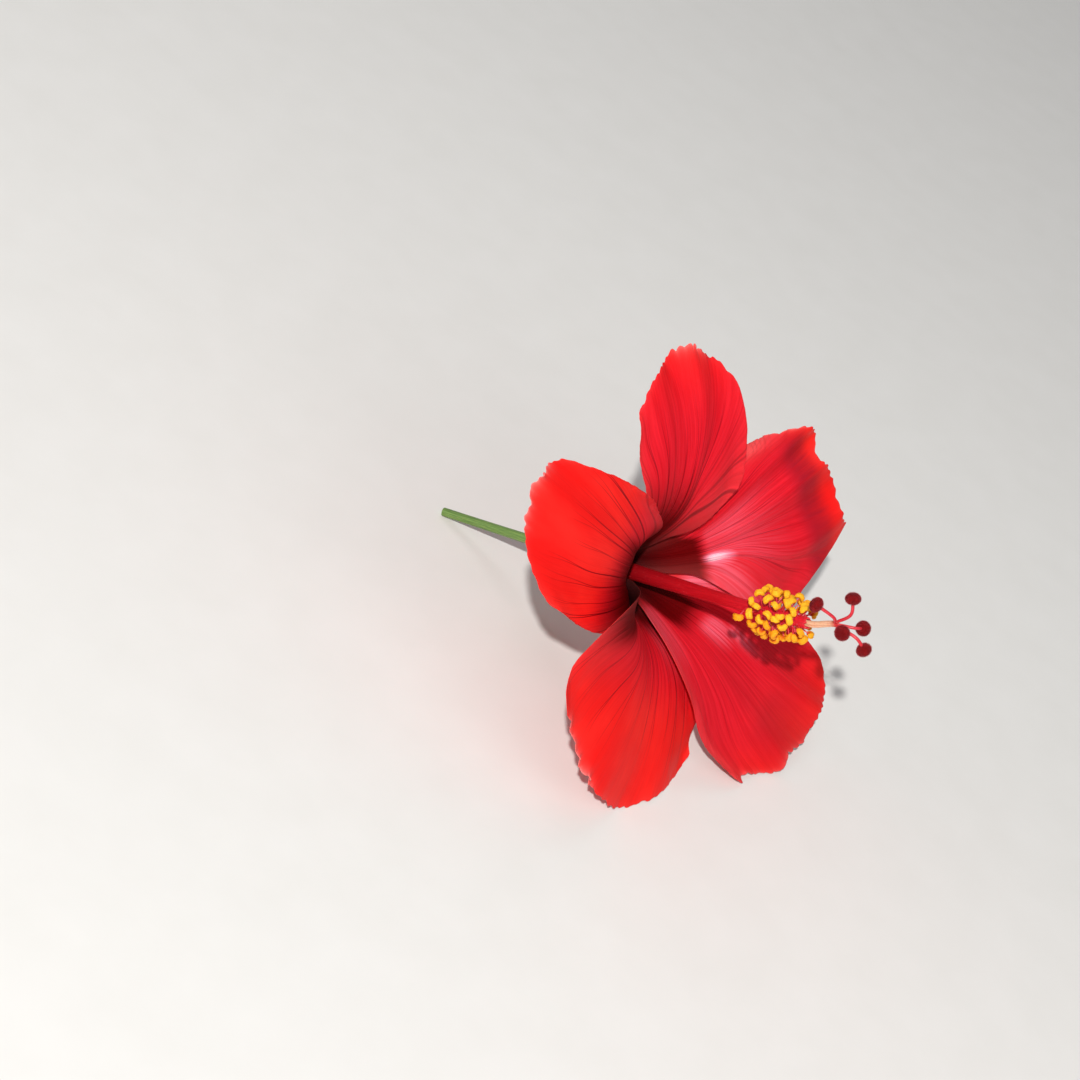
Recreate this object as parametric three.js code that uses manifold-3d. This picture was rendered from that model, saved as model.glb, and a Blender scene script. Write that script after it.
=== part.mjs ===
import * as THREE from "three";
import { mergeVertices } from "three/addons/utils/BufferGeometryUtils.js";
import Module from "manifold-3d";

// A red hibiscus flower as picked, lying on a surface on three low points: the rims of its two
// lower petals and the cut end of its stalk. Millimetres and degrees.
//
// The flower is first drawn in its own frame. Z runs up the middle of the bloom from the petals'
// feet (Z = 0) to the stigmas, Y points to the top petal, and X to the right as one looks into the
// bloom. Azimuths are clockwise from Y, as seen by that same eye. At the end the whole flower is
// turned to the way it lies.

// ---- The way it lies ------------------------------------------------------------------------
const LIE_TILT_X = 55.4;
const LIE_TILT_Y = 8.0;
const LIE_TURN_Z = 55.16;
const LIE_SHIFT = new THREE.Vector3(-23.55, 15.2, 24.25);

// ---- Petals ---------------------------------------------------------------------------------
const PETAL_THICKNESS = 0.62;
const PETAL_ROWS = 14;
const PETAL_COLUMNS = 28;

// The line up the middle of a petal: its slope is the angle to the axis of the bloom.
const FOOT_RADIUS = 4.2;
const FOOT_SLOPE = 5;
const THROAT_SLOPE = 38;
const THROAT_BEND = { from: 9, to: 32 };
const BLADE_BEND = { from: 30, to: 56 };
const TIP_BEND_FROM = 48;
const MERIDIAN_STEP = 0.5;

// A petal's foot spans a narrow sector, so that slits stay between the feet. Above them the
// petals widen until each laps over the next one, clockwise, like the vanes of a pinwheel.
const FOOT_SECTOR = 30.4;
const SECTOR_SPREAD = { from: 10, to: 31 };
const FLARE_SPREAD = { from: 30, to: 52 };
const WIDTH_BLEND = 5;
const WIDTH_EASE_FROM = 0.6;
const AZIMUTH_DRIFT = { from: 12, to: 50 };

// A petal slopes up towards its over side, and most of all near its foot.
const LAP_TILT = { foot: 0.22, blade: 0.15 };
const LAP_TILT_SPREAD = { from: 20, to: 48 };

// Across, a petal is round the throat at first, and droops at its sides further out. These are
// parts of its length.
const ROUND_FADE = { from: 0.35, to: 0.8 };
const DROOP_SPREAD = { from: 0.3, to: 0.8 };

// The waves of a blade grow towards its rim, and the ripples towards its sides.
const FOLD_GROWTH = 2.5;
const RIPPLE_GROWTH = 2;
const RIPPLE_EDGE = 5;

// "over" is the half of a petal that laps over its neighbour, "under" the half that lies below
// the one before. Lengths and widths follow the curved blade. A lobe is a swelling (or, if
// negative, a nick) of the rim, at a place from -1 (under side) to 1 (over side). Folds are
// lengthwise waves of the blade, and ripples are waves along its two sides.
const PETALS = [
  {
    name: "petal_top",
    foot: -8,
    azimuth: -9.5,
    length: 91,
    bladeSlope: 75,
    tipSlope: 116,
    camber: -0.004,
    sweep: -0.015,
    over: { width: 25, sector: 25, flare: 1.45, shoulder: 0.59, fullness: 3.0, roundness: 1.9 },
    under: { width: 25, sector: 46, flare: -0.28, shoulder: 0.81, fullness: 1.9, roundness: 1.25 },
    lobes: [{ at: 0.42, size: -2.1, width: 0.13 }],
    folds: { height: 1.1, waves: 2.6, phase: 0.6 },
    ripples: { height: 1.0, waves: 3.2, phase: 1.0 },
  },
  {
    name: "petal_right",
    foot: 64,
    azimuth: 57.5,
    length: 87,
    bladeSlope: 79,
    tipSlope: 88,
    camber: -0.01,
    sweep: -0.05,
    over: { width: 34, sector: 28, flare: 1.5, shoulder: 0.75, fullness: 2.4, roundness: 1.9 },
    under: { width: 29.5, sector: 55, flare: -0.205, shoulder: 0.68, fullness: 2.9, roundness: 2.0 },
    lobes: [
      { at: -0.52, size: 1.2, width: 0.2 },
      { at: -0.2, size: -6.5, width: 0.14 },
      { at: 0.82, size: 10.5, width: 0.2 },
    ],
    folds: { height: 1.6, waves: 3.1, phase: 2.2 },
    ripples: { height: 1.3, waves: 3.6, phase: 0.2 },
  },
  {
    name: "petal_lower_right",
    foot: 136,
    azimuth: 136,
    length: 99.5,
    bladeSlope: 77.5,
    tipSlope: 86.5,
    camber: -0.006,
    sweep: -0.16,
    over: { width: 35, sector: 44, flare: 0.08, shoulder: 0.78, fullness: 2.1, roundness: 1.7 },
    under: { width: 28, sector: 68, flare: -0.395, shoulder: 0.7, fullness: 2.7, roundness: 2.05 },
    lobes: [
      { at: 0.985, size: 6.5, width: 0.03 },
      { at: 0.36, size: -4.5, width: 0.13 },
      { at: -0.2, size: -3.0, width: 0.2 },
    ],
    folds: { height: 1.5, waves: 2.8, phase: 4.0 },
    ripples: { height: 1.1, waves: 3.0, phase: 2.4 },
  },
  {
    name: "petal_lower_left",
    foot: 208,
    azimuth: 198.5,
    length: 88,
    bladeSlope: 71.5,
    tipSlope: 95,
    camber: -0.002,
    sweep: -0.03,
    over: { width: 48, sector: 46, flare: 1.3, shoulder: 0.74, fullness: 1.85, roundness: 1.2 },
    under: { width: 39.5, sector: 84, flare: -0.15, shoulder: 0.71, fullness: 1.25, roundness: 1.4 },
    lobes: [],
    folds: { height: 1.2, waves: 2.4, phase: 5.4 },
    ripples: { height: 1.2, waves: 3.4, phase: 4.1 },
  },
  {
    name: "petal_left",
    foot: 280,
    azimuth: 276,
    length: 99,
    bladeSlope: 74,
    tipSlope: 96,
    camber: -0.004,
    sweep: 0.228,
    over: { width: 26, sector: 44, flare: -0.16, shoulder: 0.61, fullness: 1.9, roundness: 1.8 },
    under: { width: 24, sector: 64, flare: -0.13, shoulder: 0.8, fullness: 1.7, roundness: 1.95 },
    lobes: [],
    folds: { height: 1.0, waves: 2.2, phase: 1.4 },
    ripples: { height: 1.0, waves: 3.0, phase: 3.2 },
  },
];

// The rim is finely toothed: waves of this height across the petal, which swell and fade.
const TEETH = { height: 0.5, waves: 6.5, beat: 2.7 };

// ---- Staminal column, stamens and pistil ------------------------------------------------------
const COLUMN_BOTTOM = -0.5;
const COLUMN_TOP = 84;
const COLUMN_FOOT_RADIUS = 3.15;
const COLUMN_FOOT_BEVEL = 0.6;
const COLUMN_TIP_RADIUS = 1.6;
// Radius and height of the column's wall, from its foot up.
const COLUMN_WALL = [
  [COLUMN_FOOT_RADIUS, 0.5],
  [2.5, 12],
  [2.25, 28],
  [1.7, 58],
  [COLUMN_TIP_RADIUS, COLUMN_TOP - 0.5],
];
const COLUMN_SIDES = 14;
const SOCKET_RADIUS = 1.15;
const SOCKET_DEPTH = 8;

const STAMENS = 70;
const STAMEN_HEIGHTS = { first: 64, second: 66.8, last: 81.6 };
const FIRST_AZIMUTH = 248;
const GOLDEN_ANGLE = 137.508;
const AZIMUTH_SCATTER = 12;
const FILAMENT_RADIUS = { root: 0.3, tip: 0.24 };
const FILAMENT_LENGTH = { shortest: 3.9, longest: 5.4 };
const FILAMENT_LEAN = { first: 8, last: 36 };
const LEAN_SCATTER = 26;
const LAST_SHORTENED_BY = 0.2;
// How far a filament is sunk into the column, and an anther's middle stands out past its end.
const ROOT_DEPTH = 0.25;
const ANTHER_OFFSET = 0.3;
const ANTHER_SIZE = new THREE.Vector3(1.1, 0.85, 0.78);

const STYLE_FROM = 77;
const STYLE_TO = 94;
const STYLE_RADIUS = 0.8;
const STYLE_BEND = 2.0;
const BRANCH_RADIUS = 0.45;
const BRANCH_DEPTH = 0.6;
// Where a branch bends: its share of the way out and of the way up, and a rise on top of that.
const BRANCH_ELBOW = { out: 0.45, up: 0.5, rise: 1.6 };
const STIGMA_RADIUS = 2.1;
const STIGMA_FLATNESS = 0.78;
// Each stigma's place from the point where the style parts.
const BRANCHES = [
  { azimuth: 303, out: 9.0, up: -3.0 },
  { azimuth: 353, out: 8.0, up: 3.5 },
  { azimuth: 93, out: 6.8, up: 3.0 },
  { azimuth: 138, out: 7.3, up: 5.7 },
  { azimuth: 264, out: 6.0, up: 5.5 },
];

// ---- Calyx, bracts and stalk ------------------------------------------------------------------
const CALYX_COLUMNS = 40;
const CALYX_ROWS = 9;
const CALYX_WALL = { floor: 0.9, rim: 0.63 };
// The calyx follows the line of a middling petal, further and further away from it.
const CALYX_PETAL = { bladeSlope: 76, tipSlope: 94, length: 90 };
const CALYX_CLEARANCE = 1.5;
const CALYX_WIDENING = 0.035;
const CALYX_FLOOR = -0.85;
const CALYX_FLOOR_BEVEL = 0.6;
const CALYX_LOBES = 5;
const CALYX_BAY_HEIGHT = 13;
const CALYX_LOBE_HEIGHT = 10;
const CALYX_LOBE_POINT = 1.35;
const CALYX_LOBE_AZIMUTH = 28;

const BRACTS = 7;
const BRACT_AZIMUTH = 12;
const BRACT_WIDTH = 2.0;
const BRACT_THICKNESS = 0.8;
const BRACT_ROWS = 7;
// A bract's middle line, as distance from the axis and height. It bends outwards from the
// receptacle, up along the calyx and out again. It narrows over the last part of its length.
const BRACT_LINE = [
  [4.0, -3.65],
  [7.4, -3.25],
  [9.8, 1.05],
  [11.4, 7.35],
  [13.8, 12.35],
];
const BRACT_NARROWS = { from: 0.45, by: 0.8 };
const BRACT_STRETCH = 0.12;
// The receptacle's outline, as distance from the axis and height.
const RECEPTACLE = [
  [0, -6.2],
  [1.9, -6.2],
  [3.2, -5.0],
  [5.2, -3.35],
  [4.9, -2.15],
  [0, -2.15],
];
const RECEPTACLE_SIDES = 21;

const STALK_TOP = -6.6;
const STALK_LENGTH = 40;
const STALK_RADIUS = { top: 1.55, cut: 1.3 };
const STALK_BEND = { azimuth: 285, sag: 9 };
const STALK_SIDES = 10;

const SEED = 7;

// ---- Helpers ----------------------------------------------------------------------------------
const wasm = await Module();
wasm.setup();

const rad = THREE.MathUtils.degToRad;

// 0 below range.from, 1 above range.to, and a smooth rise between them.
const rise = (x, range) => THREE.MathUtils.smoothstep(x, range.from, range.to);

// A run of pseudo-random numbers from 0 to 1, the same each time.
function draws(seed) {
  let state = seed;
  return () => {
    state = (state * 48271) % 2147483647;
    return state / 2147483647;
  };
}

// A point in the flower's frame from its distance to the axis, its azimuth and its height.
function polar(radius, azimuth, height) {
  const angle = rad(azimuth);
  return new THREE.Vector3(radius * Math.sin(angle), radius * Math.cos(angle), height);
}

function geometryOf(points, triangles) {
  const geometry = new THREE.BufferGeometry().setFromPoints(points);
  geometry.setIndex(triangles);
  return geometry;
}

// A closed solid of even thickness round surface(a, b), with a and b from 0 to 1. Both faces are
// split into the same triangles, and a rim closes the four sides.
function sheet(surface, rows, columns, thickness) {
  const points = [];
  const triangles = [];
  const width = columns + 1;
  const face = (rows + 1) * width;
  const step = 0.004;
  for (const side of [0.5, -0.5]) {
    for (let row = 0; row <= rows; row++) {
      for (let column = 0; column <= columns; column++) {
        const a = row / rows;
        const b = column / columns;
        const alongA = surface(Math.min(1, a + step), b).sub(surface(Math.max(0, a - step), b));
        const alongB = surface(a, Math.min(1, b + step)).sub(surface(a, Math.max(0, b - step)));
        const normal = alongB.cross(alongA).normalize();
        points.push(surface(a, b).addScaledVector(normal, side * thickness));
      }
    }
  }
  for (let row = 0; row < rows; row++) {
    for (let column = 0; column < columns; column++) {
      const near = row * width + column;
      const far = near + width;
      triangles.push(near, near + 1, far, near + 1, far + 1, far);
      const [n, f] = [near + face, far + face];
      triangles.push(n, f, n + 1, n + 1, f, f + 1);
    }
  }
  const rim = [];
  for (let column = 0; column < columns; column++) rim.push(column);
  for (let row = 0; row < rows; row++) rim.push(row * width + columns);
  for (let column = columns; column > 0; column--) rim.push(rows * width + column);
  for (let row = rows; row > 0; row--) rim.push(row * width);
  rim.forEach((here, i) => {
    const next = rim[(i + 1) % rim.length];
    triangles.push(here, here + face, next, next, here + face, next + face);
  });
  return geometryOf(points, triangles);
}

// A closed tube along a curve, with a radius that may change on the way.
function tube(curve, radiusAt, steps, sides) {
  const frames = curve.computeFrenetFrames(steps, false);
  const points = [];
  const triangles = [];
  for (let i = 0; i <= steps; i++) {
    const middle = curve.getPointAt(i / steps);
    for (let k = 0; k < sides; k++) {
      const angle = (2 * Math.PI * k) / sides;
      points.push(
        middle
          .clone()
          .addScaledVector(frames.normals[i], radiusAt(i / steps) * Math.cos(angle))
          .addScaledVector(frames.binormals[i], radiusAt(i / steps) * Math.sin(angle)),
      );
    }
  }
  for (let i = 0; i < steps; i++) {
    for (let k = 0; k < sides; k++) {
      const here = i * sides + k;
      const beside = i * sides + ((k + 1) % sides);
      triangles.push(here, beside, here + sides, beside, beside + sides, here + sides);
    }
  }
  const first = points.push(curve.getPointAt(0)) - 1;
  const last = points.push(curve.getPointAt(1)) - 1;
  for (let k = 0; k < sides; k++) {
    const next = (k + 1) % sides;
    triangles.push(first, next, k);
    triangles.push(last, steps * sides + k, steps * sides + next);
  }
  return geometryOf(points, triangles);
}

function solidOf(geometry) {
  const bare = geometry.clone();
  bare.deleteAttribute("normal");
  bare.deleteAttribute("uv");
  const merged = mergeVertices(bare, 1e-4);
  return new wasm.Manifold(
    new wasm.Mesh({
      numProp: 3,
      vertProperties: merged.attributes.position.array,
      triVerts: new Uint32Array(merged.index.array),
    }),
  );
}

// Several geometries fused into one.
function fuse(geometries) {
  const joined = geometries.map(solidOf).reduce((sum, solid) => sum.add(solid));
  const mesh = joined.getMesh();
  const geometry = new THREE.BufferGeometry();
  geometry.setAttribute("position", new THREE.BufferAttribute(mesh.vertProperties, 3));
  geometry.setIndex(new THREE.BufferAttribute(mesh.triVerts, 1));
  return geometry;
}

// ---- Petals -----------------------------------------------------------------------------------

// The line up the middle of a petal, as slope, radius and height at a distance along it.
function meridian({ bladeSlope, tipSlope, length }) {
  const slopeAt = (s) =>
    rad(
      FOOT_SLOPE +
        (THROAT_SLOPE - FOOT_SLOPE) * rise(s, THROAT_BEND) +
        (bladeSlope - THROAT_SLOPE) * rise(s, BLADE_BEND) +
        (tipSlope - bladeSlope) * rise(s, { from: TIP_BEND_FROM, to: length }),
    );
  const radii = [FOOT_RADIUS];
  const heights = [0];
  for (let s = 0; s < 1.15 * length; s += MERIDIAN_STEP) {
    const slope = slopeAt(s + MERIDIAN_STEP / 2);
    radii.push(radii.at(-1) + MERIDIAN_STEP * Math.sin(slope));
    heights.push(heights.at(-1) + MERIDIAN_STEP * Math.cos(slope));
  }
  return (s) => {
    const i = Math.min(Math.floor(s / MERIDIAN_STEP), radii.length - 2);
    const part = s / MERIDIAN_STEP - i;
    return {
      slope: slopeAt(s),
      radius: THREE.MathUtils.lerp(radii[i], radii[i + 1], part),
      height: THREE.MathUtils.lerp(heights[i], heights[i + 1], part),
    };
  };
}

// The point of a petal's middle surface at u, from its foot (0) to its rim (1), and v, from its
// under side (-1) to its over side (1). Lines of constant v run as the veins do.
function petalSurface(petal) {
  const line = meridian(petal);

  // Towards the rim the width grows ever more slowly, so that each side runs smoothly into the end.
  function halfWidth(u, side) {
    const beyond = Math.max(0, (u - WIDTH_EASE_FROM) / (1 - WIDTH_EASE_FROM));
    const eased = u - (1 - WIDTH_EASE_FROM) * 0.5 * beyond * beyond;
    const s = petal.length * eased * side.shoulder;
    const sector = rad(THREE.MathUtils.lerp(FOOT_SECTOR, side.sector, rise(s, SECTOR_SPREAD)));
    const room = line(s).radius * sector * (1 + side.flare * rise(s, FLARE_SPREAD));
    return (room * side.width) / (room ** WIDTH_BLEND + side.width ** WIDTH_BLEND) ** (1 / WIDTH_BLEND);
  }

  function wave(u, v) {
    const { folds, ripples } = petal;
    const fold = Math.sin(Math.PI * folds.waves * v + folds.phase);
    const ripple = Math.sin(2 * Math.PI * ripples.waves * u + ripples.phase);
    return (
      folds.height * u ** FOLD_GROWTH * fold +
      ripples.height * u ** RIPPLE_GROWTH * Math.abs(v) ** RIPPLE_EDGE * ripple
    );
  }

  return (u, v) => {
    const side = v > 0 ? petal.over : petal.under;
    const crown = Math.max(0, 1 - Math.abs(v) ** side.fullness) ** (1 / side.roundness);
    let reach = petal.length * (side.shoulder + (1 - side.shoulder) * crown);
    for (const lobe of petal.lobes) {
      reach += lobe.size * Math.exp(-(((v - lobe.at) / lobe.width) ** 2));
    }
    const turns = 2 * Math.PI * v;
    reach += TEETH.height * Math.sin(TEETH.waves * turns) * Math.cos(TEETH.beat * turns);
    const s = u * reach;
    const across = v * halfWidth(u, side);
    const part = s / petal.length;
    const { slope, radius, height } = line(s);

    const round = (Math.cos(slope) / radius) * (1 - rise(part, ROUND_FADE));
    const bend = round + petal.camber * rise(part, DROOP_SPREAD);
    const tilt = THREE.MathUtils.lerp(LAP_TILT.foot, LAP_TILT.blade, rise(s, LAP_TILT_SPREAD));
    const lift = (1 - Math.cos(bend * across)) / bend + tilt * across + wave(u, v);
    const shift = Math.sin(bend * across) / bend + petal.sweep * part * part * petal.length;

    const drift = rise(s, AZIMUTH_DRIFT);
    const azimuth = THREE.MathUtils.lerp(petal.foot, petal.azimuth, drift);
    const outward = radius - Math.cos(slope) * lift;
    return polar(outward, azimuth, height + Math.sin(slope) * lift).add(
      polar(shift, azimuth + 90, 0),
    );
  };
}

function petalGeometry(petal) {
  const surface = petalSurface(petal);
  const blade = (a, b) => surface(a, Math.sin(Math.PI * (b - 0.5)));
  return sheet(blade, PETAL_ROWS, PETAL_COLUMNS, PETAL_THICKNESS);
}

// ---- Column with its stamens ------------------------------------------------------------------
function columnGeometry() {
  const wall = new THREE.SplineCurve(COLUMN_WALL.map(([r, z]) => new THREE.Vector2(r, z)));
  const outline = [
    new THREE.Vector2(0, COLUMN_BOTTOM),
    new THREE.Vector2(COLUMN_FOOT_RADIUS - COLUMN_FOOT_BEVEL, COLUMN_BOTTOM),
    ...wall.getPoints(12),
    new THREE.Vector2((COLUMN_TIP_RADIUS + SOCKET_RADIUS) / 2, COLUMN_TOP),
    new THREE.Vector2(SOCKET_RADIUS, COLUMN_TOP),
    new THREE.Vector2(SOCKET_RADIUS, COLUMN_TOP - SOCKET_DEPTH),
    new THREE.Vector2(0, COLUMN_TOP - SOCKET_DEPTH),
  ];
  const lathe = new THREE.LatheGeometry(outline, COLUMN_SIDES);
  return lathe.rotateX(Math.PI / 2);
}

// The stamens wind up the column by the golden angle. The first one stands a little apart. The
// first ones stand nearly straight out, and the last ones lean towards the tip.
function stamenGeometries() {
  const draw = draws(SEED);
  const up = new THREE.Vector3(0, 1, 0);
  const scatter = (width) => width * (draw() - 0.5);
  const { lerp } = THREE.MathUtils;
  const stamens = [];
  for (let i = 0; i < STAMENS; i++) {
    const part = i / (STAMENS - 1);
    const { first, second, last } = STAMEN_HEIGHTS;
    const height = i === 0 ? first : lerp(second, last, part);
    const azimuth = FIRST_AZIMUTH + i * GOLDEN_ANGLE + scatter(AZIMUTH_SCATTER);
    const lean = lerp(FILAMENT_LEAN.first, FILAMENT_LEAN.last, part ** 2);
    const slope = rad(lean + scatter(LEAN_SCATTER));
    const full = lerp(FILAMENT_LENGTH.shortest, FILAMENT_LENGTH.longest, draw());
    const length = full * (1 - LAST_SHORTENED_BY * part ** 4);
    const direction = polar(Math.cos(slope), azimuth, Math.sin(slope));
    const root = polar(COLUMN_TIP_RADIUS - ROOT_DEPTH, azimuth, height);
    const turn = new THREE.Quaternion().setFromUnitVectors(up, direction);

    const { root: thick, tip: thin } = FILAMENT_RADIUS;
    const filament = new THREE.CylinderGeometry(thin, thick, length, 3);
    filament.translate(0, length / 2, 0);
    filament.applyQuaternion(turn).translate(root.x, root.y, root.z);

    const anther = new THREE.IcosahedronGeometry(1, 0);
    anther.scale(ANTHER_SIZE.x, ANTHER_SIZE.z, ANTHER_SIZE.y);
    anther.rotateY(2 * Math.PI * draw());
    const tip = root.clone().addScaledVector(direction, length + ANTHER_OFFSET);
    anther.applyQuaternion(turn).translate(tip.x, tip.y, tip.z);
    stamens.push(filament, anther);
  }
  return stamens;
}

// ---- Pistil -----------------------------------------------------------------------------------

// The style comes straight out of the column, then bends a little towards the top petal.
function stylePoint(height) {
  const bend = STYLE_BEND * rise(height, { from: COLUMN_TOP, to: STYLE_TO });
  return new THREE.Vector3(0, bend, height);
}

function pistilGeometries() {
  const heights = [STYLE_FROM, COLUMN_TOP, COLUMN_TOP + 5, STYLE_TO];
  const style = new THREE.CatmullRomCurve3(heights.map(stylePoint));
  const pieces = [tube(style, () => STYLE_RADIUS, 7, 8)];
  const parting = stylePoint(STYLE_TO);
  const inside = stylePoint(STYLE_TO - BRANCH_DEPTH);
  for (const { azimuth, out, up } of BRANCHES) {
    const bendHeight = BRANCH_ELBOW.up * up + BRANCH_ELBOW.rise;
    const elbow = parting.clone().add(polar(BRANCH_ELBOW.out * out, azimuth, bendHeight));
    const end = parting.clone().add(polar(out, azimuth, up));
    const branch = new THREE.CatmullRomCurve3([inside, elbow, end]);
    pieces.push(tube(branch, () => BRANCH_RADIUS, 5, 6));

    const stigma = new THREE.IcosahedronGeometry(STIGMA_RADIUS, 1);
    stigma.scale(1, 1, STIGMA_FLATNESS);
    const facing = new THREE.Quaternion();
    facing.setFromUnitVectors(new THREE.Vector3(0, 0, 1), branch.getTangentAt(1));
    stigma.applyQuaternion(facing).translate(end.x, end.y, end.z);
    pieces.push(stigma);
  }
  return pieces;
}

// ---- Calyx ------------------------------------------------------------------------------------

// How far the petals' outer faces reach from the axis at a height, with room left round them.
function calyxInside() {
  const line = meridian(CALYX_PETAL);
  return (height) => {
    // The distance along the petal at which it has this height, found by steps that shrink.
    let s = height;
    for (let i = 0; i < 6; i++) s += height - line(s).height;
    return line(Math.max(0, s)).radius + CALYX_CLEARANCE + CALYX_WIDENING * height;
  };
}

// The cup's rim: five pointed lobes with rounded bays between them.
function calyxRim(azimuth) {
  const sector = 360 / CALYX_LOBES;
  const turn = THREE.MathUtils.euclideanModulo(azimuth - CALYX_LOBE_AZIMUTH, sector);
  const fromBay = Math.abs((2 * turn) / sector - 1);
  return CALYX_BAY_HEIGHT + CALYX_LOBE_HEIGHT * fromBay ** CALYX_LOBE_POINT;
}

function calyxGeometry() {
  const inside = calyxInside();
  const bottom = CALYX_FLOOR - CALYX_WALL.floor;
  const points = [new THREE.Vector3(0, 0, bottom)];
  const rings = [];
  const addRing = (radiusAt, heightAt) => {
    rings.push(points.length);
    for (let k = 0; k < CALYX_COLUMNS; k++) {
      const azimuth = (360 * k) / CALYX_COLUMNS;
      points.push(polar(radiusAt(azimuth), azimuth, heightAt(azimuth)));
    }
  };
  const wall = (row) => (azimuth) => (calyxRim(azimuth) * row) / CALYX_ROWS;
  const floorRadius = inside(0) - CALYX_FLOOR_BEVEL;
  addRing(() => floorRadius, () => bottom);
  for (let row = 0; row <= CALYX_ROWS; row++) {
    const height = wall(row);
    const thickness = THREE.MathUtils.lerp(CALYX_WALL.floor, CALYX_WALL.rim, row / CALYX_ROWS);
    addRing((azimuth) => inside(height(azimuth)) + thickness, height);
  }
  for (let row = CALYX_ROWS; row >= 0; row--) {
    const height = wall(row);
    addRing((azimuth) => inside(height(azimuth)), height);
  }
  addRing(() => floorRadius, () => CALYX_FLOOR);
  const floor = points.push(new THREE.Vector3(0, 0, CALYX_FLOOR)) - 1;

  const triangles = [];
  for (let k = 0; k < CALYX_COLUMNS; k++) {
    const next = (k + 1) % CALYX_COLUMNS;
    triangles.push(0, rings[0] + k, rings[0] + next);
    for (let i = 0; i + 1 < rings.length; i++) {
      const [low, high] = [rings[i], rings[i + 1]];
      triangles.push(low + k, high + k, low + next, low + next, high + k, high + next);
    }
    triangles.push(rings.at(-1) + k, floor, rings.at(-1) + next);
  }
  return geometryOf(points, triangles);
}

// ---- Bracts, with the receptacle they grow from -----------------------------------------------
function receptacleGeometry() {
  const outline = RECEPTACLE.map(([r, z]) => new THREE.Vector2(r, z));
  return new THREE.LatheGeometry(outline, RECEPTACLE_SIDES).rotateX(Math.PI / 2);
}

function bractGeometry(index) {
  const azimuth = BRACT_AZIMUTH + (360 * index) / BRACTS;
  const stretch = 1 + BRACT_STRETCH * Math.sin(2.3 * index);
  const spine = new THREE.CatmullRomCurve3(
    BRACT_LINE.map(([out, up]) => polar(out, azimuth, up > 0 ? up * stretch : up)),
  );
  const surface = (a, b) => {
    const beyond = Math.max(0, (a - BRACT_NARROWS.from) / (1 - BRACT_NARROWS.from));
    const width = BRACT_WIDTH * (1 - BRACT_NARROWS.by * beyond ** 1.5);
    return spine.getPoint(a).add(polar((b - 0.5) * width, azimuth + 90, 0));
  };
  return sheet(surface, BRACT_ROWS, 2, BRACT_THICKNESS);
}

// ---- Stalk ------------------------------------------------------------------------------------
function stalkGeometry() {
  const { azimuth, sag } = STALK_BEND;
  const at = (part) => polar(sag * part ** 2, azimuth, STALK_TOP - STALK_LENGTH * part);
  const curve = new THREE.CatmullRomCurve3([0, 0.25, 0.5, 0.75, 1].map(at));
  const radius = (part) => THREE.MathUtils.lerp(STALK_RADIUS.top, STALK_RADIUS.cut, part);
  return tube(curve, radius, 12, STALK_SIDES);
}

// ---- Materials and assembly -------------------------------------------------------------------
const petalRed = { color: 0xe3222b, roughness: 0.5, metalness: 0 };
const columnRed = { color: 0xb8121e, roughness: 0.45, metalness: 0 };
const stigmaRed = { color: 0x7e0a0c, roughness: 0.9, metalness: 0 };
const calyxGreen = { color: 0x5f8a3a, roughness: 0.6, metalness: 0 };
const stalkGreen = { color: 0x557a35, roughness: 0.65, metalness: 0 };

const flower = new THREE.Group();

function add(name, geometry, finish) {
  const mesh = new THREE.Mesh(geometry, new THREE.MeshStandardMaterial(finish));
  mesh.name = name;
  flower.add(mesh);
}

for (const petal of PETALS) add(petal.name, petalGeometry(petal), petalRed);
add("staminal_column", fuse([columnGeometry(), ...stamenGeometries()]), columnRed);
add("pistil", fuse(pistilGeometries()), stigmaRed);
add("calyx", calyxGeometry(), calyxGreen);
const bracts = Array.from({ length: BRACTS }, (_, index) => bractGeometry(index));
add("bracts", fuse([receptacleGeometry(), ...bracts]), calyxGreen);
add("stalk", stalkGeometry(), stalkGreen);

flower.rotation.set(rad(LIE_TILT_X), rad(LIE_TILT_Y), rad(LIE_TURN_Z), "ZYX");
flower.position.copy(LIE_SHIFT);

export default flower;
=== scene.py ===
import math

import bpy
import numpy as np
from mathutils import Matrix, Vector


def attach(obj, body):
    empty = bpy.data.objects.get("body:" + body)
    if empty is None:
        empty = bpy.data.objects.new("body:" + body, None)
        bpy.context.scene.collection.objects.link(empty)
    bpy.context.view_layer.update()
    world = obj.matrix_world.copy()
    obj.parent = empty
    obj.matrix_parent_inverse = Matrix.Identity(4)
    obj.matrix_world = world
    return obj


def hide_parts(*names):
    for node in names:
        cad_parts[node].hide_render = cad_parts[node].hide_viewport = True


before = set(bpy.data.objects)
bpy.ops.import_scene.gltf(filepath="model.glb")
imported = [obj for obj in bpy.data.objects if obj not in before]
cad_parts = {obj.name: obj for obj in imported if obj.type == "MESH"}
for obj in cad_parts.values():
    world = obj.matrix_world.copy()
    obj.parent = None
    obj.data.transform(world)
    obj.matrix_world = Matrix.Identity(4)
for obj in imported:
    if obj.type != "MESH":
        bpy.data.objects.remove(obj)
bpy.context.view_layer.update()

# A red hibiscus flower as picked, lying on its two lower petals and the end of its stalk.
#
# Shapes are made in the flower's own frame, in millimetres: Z runs up the middle of the bloom from
# the petals' feet, Y points to the top petal, and X to the right as one looks into the bloom.
# Azimuths are in degrees, clockwise from Y. POSE turns that frame to the way the flower lies.
LIE_TILT_X, LIE_TILT_Y, LIE_TURN_Z = (math.radians(a) for a in (55.4, 8.0, 55.16))
LIE_SHIFT = (-23.55, 15.2, 24.25)
POSE = (
    Matrix.Translation(LIE_SHIFT)
    @ Matrix.Rotation(LIE_TURN_Z, 4, "Z")
    @ Matrix.Rotation(LIE_TILT_Y, 4, "Y")
    @ Matrix.Rotation(LIE_TILT_X, 4, "X")
)
MM = 0.001
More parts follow.
